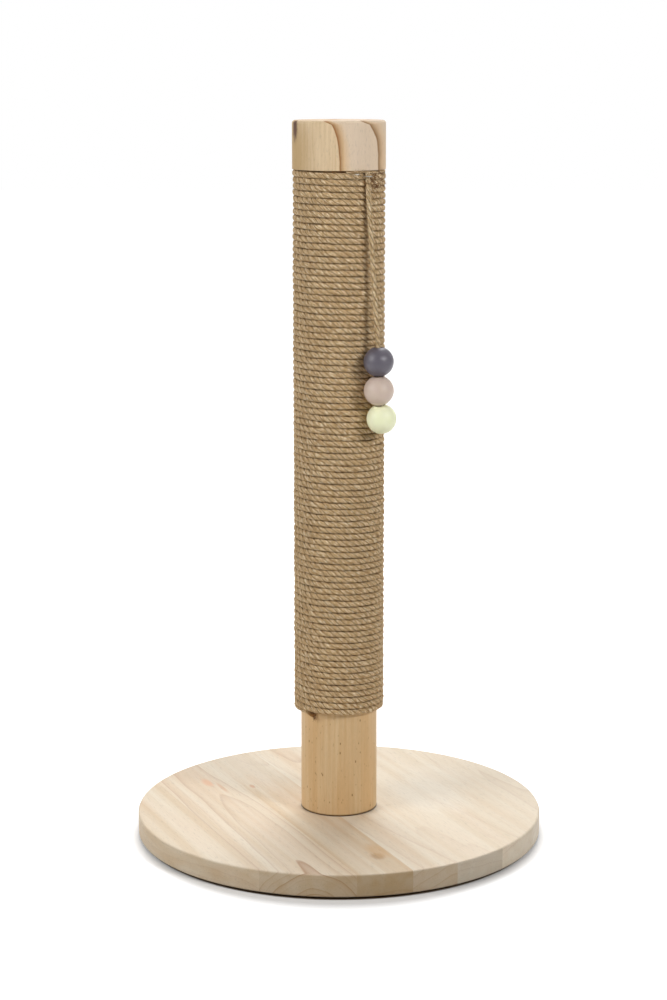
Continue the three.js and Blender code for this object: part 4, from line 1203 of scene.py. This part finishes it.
def staple(name, node, azimuth, height, inner_width, crown_radius):
    """A staple whose crown lies across the post at a radius, its legs driven straight back into it."""
    half_width = (inner_width + STAPLE_WIRE) / 2
    front = -(crown_radius + STAPLE_WIRE / 2)
    tip = -(crown_radius + STAPLE_WIRE) + STAPLE_LEG
    outline = [(-half_width, tip), (-half_width, front), (half_width, front), (half_width, tip)]
    turn_round = Matrix.Rotation(math.radians(azimuth), 4, "Z")
    points = [turn_round @ Vector((x, y, height)) for x, y in outline]
    piece = grown(name, wire_tree, {"Wire": STAPLE_WIRE, "Bend": STAPLE_BEND}, zinc, points,
                  [(0, 1), (1, 2), (2, 3)])
    hand_over(piece, "root", "zinc_steel", node)


winding_radius = core_radius + ROPE_THICKNESS
staple("rope_staple_bent", "rope_staple", *ROPE_STAPLE, ROPE_STAPLE_WIDTH, winding_radius + hole_clearance)
staple("cord_staple_bent", "cord_staple", *CORD_STAPLE, CORD_DIAMETER + 2 * hole_clearance,
       winding_radius + CORD_DIAMETER + 2 * hole_clearance)
print("staples bent from", STAPLE_WIRE / MM, "mm wire")

# %% [markdown]
# ## Felt pads
#
# Four discs of pressed wool felt keep the base off the floor. Felt has no direction: it is a dark mat of
# fibres with a soft edge, so its colour and relief come from fine noise without any stretch.

# %% Felt pads
PADS = 4
PAD_EDGE = 0.5 * MM

felt, tree = new_material("pressed_wool_felt")
place = add(tree, "ShaderNodeTexCoord").outputs["Object"]
mat = add(tree, NOISE, {"Vector": place, "Scale": 1 / (0.7 * MM), "Detail": 4.0, "Roughness": 0.7})
colour = add(tree, MIX_COLOUR, (mat, "35302b", "5d564d"))
finish_material(tree, {"Base Color": colour, "Roughness": 1.0, "Sheen Weight": 0.3}, (0.8, 0.2 * MM, mat))

for i in range(1, PADS + 1):
    pad_low, pad_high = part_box(f"foot_pad_{i}")
    middle = (pad_low + pad_high) / 2
    radius = (pad_high.x - pad_low.x) / 2
    profile = [(0, pad_low.z), *rounded(radius - PAD_EDGE, pad_low.z + PAD_EDGE, PAD_EDGE, -90, 0, 3),
               (radius, pad_high.z), (0, pad_high.z)]
    place = Matrix.Translation((middle.x, middle.y, 0))
    piece = turned(f"foot_pad_{i}_felt", profile, SMALL_SEGMENTS, felt, place)
    hand_over(piece, "root", "felt", f"foot_pad_{i}")
print("felt pads:", PADS)

# %% [markdown]
# ## Floor, backdrop and light
#
# A product is photographed on white under soft boxes: a large one high behind the post, which throws its
# soft shadow towards the camera, and one at each side of the front. A small one with a grid lifts only the
# upper front of the post, and leaves the shadow on the base alone. The floor is a pale matt sheet. Seen by
# the camera it gets a little light of its own away from the base, so that it is white but keeps the shadow,
# and under the base's rim it is painted dark, as shade.

# %% Floor
FLOOR_REACH = 12.0
SHADE_STARTS = 0.2012        # under the base the sheet is painted dark, as shade
SHADE_FULL = 0.1985
SHADE_SIDES = (1.022, 1.0, 1.0)        # the painted shade stops sooner at the sides, where the lamps reach a little way under it
SHADOW_REACH = (0.212, 0.232, 1.0)     # how far out the rim's soft shadow goes, to the sides and the front
NEAR_GLOW = 0.4
FAR_GLOW_STARTS = 0.26
FAR_GLOW_FULL = 0.8


def seen_share(tree):
    """1 for rays that show a surface, straight, mirrored or through glass, and 0 for rays that light it."""
    rays = add(tree, "ShaderNodeLightPath").outputs
    straight_or_mirrored = add(tree, MAXIMUM, (rays["Is Camera Ray"], rays["Is Glossy Ray"]))
    return add(tree, MAXIMUM, (straight_or_mirrored, rays["Is Transmission Ray"]))


floor_material, tree = new_material("white_paper_sweep")
place = add(tree, "ShaderNodeTexCoord").outputs["Object"]
from_middle = add(tree, VECTOR_LENGTH, (place,)).outputs["Value"]
shadow_share = add(tree, VECTOR_DIVIDE, (place, SHADOW_REACH))
shadow_edge = add(tree, VECTOR_LENGTH, (shadow_share,)).outputs["Value"]
near = add(tree, SMOOTH_RANGE, (shadow_edge, 0.9, 1.0, 0.0, NEAR_GLOW))
far = add(tree, SMOOTH_RANGE, (from_middle, FAR_GLOW_STARTS, FAR_GLOW_FULL, 0.0, 1.0 - NEAR_GLOW))
glow = add(tree, ADD, (near, far))
seen = seen_share(tree)
paper_grain = add(tree, NOISE, {"Vector": place, "Scale": 400.0, "Detail": 2.0})
paper = add(tree, MIX_COLOUR, (paper_grain, "cfcfce", "d6d6d5"))
# Painted shade: the sheet is dark under the base's rim, and the dark stops sooner at the sides.
shade_place = add(tree, VECTOR_MULTIPLY, (place, SHADE_SIDES))
shade_reach = add(tree, VECTOR_LENGTH, (shade_place,)).outputs["Value"]
open_sheet = add(tree, MAP_RANGE, (shade_reach, SHADE_FULL, SHADE_STARTS))
sheet_with_painted_shade = add(tree, MIX_COLOUR, (open_sheet, "6e5c49", "fafafa"))
shown = add(tree, MIX_COLOUR, (seen, paper, sheet_with_painted_shade))
finish_material(tree, {"Base Color": shown, "Roughness": 1.0, "Specular IOR Level": 0.0,
                       "Emission Color": "ffffff", "Emission Strength": add(tree, MULTIPLY, (glow, seen))})

floor_mesh = bpy.data.meshes.new("floor")
corners = [(x * FLOOR_REACH, y * FLOOR_REACH, 0) for x, y in ((-1, -1), (1, -1), (1, 1), (-1, 1))]
floor_mesh.from_pydata(corners, [], [(0, 1, 2, 3)])
floor_mesh.materials.append(floor_material)
floor = bpy.data.objects.new("floor", floor_mesh)
scene.collection.objects.link(floor)

# %% Lights
WORLD_LIGHT = 0.15

world = bpy.data.worlds.new("studio")
world.use_nodes = True
scene.world = world
tree = world.node_tree
tree.nodes.clear()
seen = seen_share(tree)
strength = add(tree, MIX_NUMBER, (seen, WORLD_LIGHT, 1.0))
studio = add(tree, "ShaderNodeBackground", {"Color": "ffffff", "Strength": strength})
add(tree, "ShaderNodeOutputWorld", (studio,))


def soft_box(name, place, target, size, power, spread=180):
    """A square soft box aimed at a point. A grid narrows the spread of its light, in degrees."""
    light = bpy.data.lights.new(name, "AREA")
    light.shape = "SQUARE"
    light.size = size
    light.energy = power
    light.spread = math.radians(spread)
    lamp = bpy.data.objects.new(name, light)
    lamp.location = place
    lamp.rotation_euler = (Vector(target) - Vector(place)).to_track_quat("-Z", "Y").to_euler()
    scene.collection.objects.link(lamp)


soft_box("soft_box_behind", (0.05, 1.5, 2.3), (0, 0, 0.2), 1.5, 46)
soft_box("soft_box_right", (1.5, -1.35, 1.45), (0, 0, 0.45), 0.4, 20)
soft_box("soft_box_left", (-1.8, -1.0, 1.45), (0, 0, 0.45), 1.2, 25)
soft_box("gridded_box_front", (1.0, -1.85, 1.5), (0, 0, 0.62), 0.2, 0.08, spread=26)
print("lights: four soft boxes and a pale studio")

# %% [markdown]
# ## Sizes
#
# The box of the imported model is printed, in metres.

# %% Finish
print("packed box:", [[round(v, 4) for v in corner] for corner in cad_box])
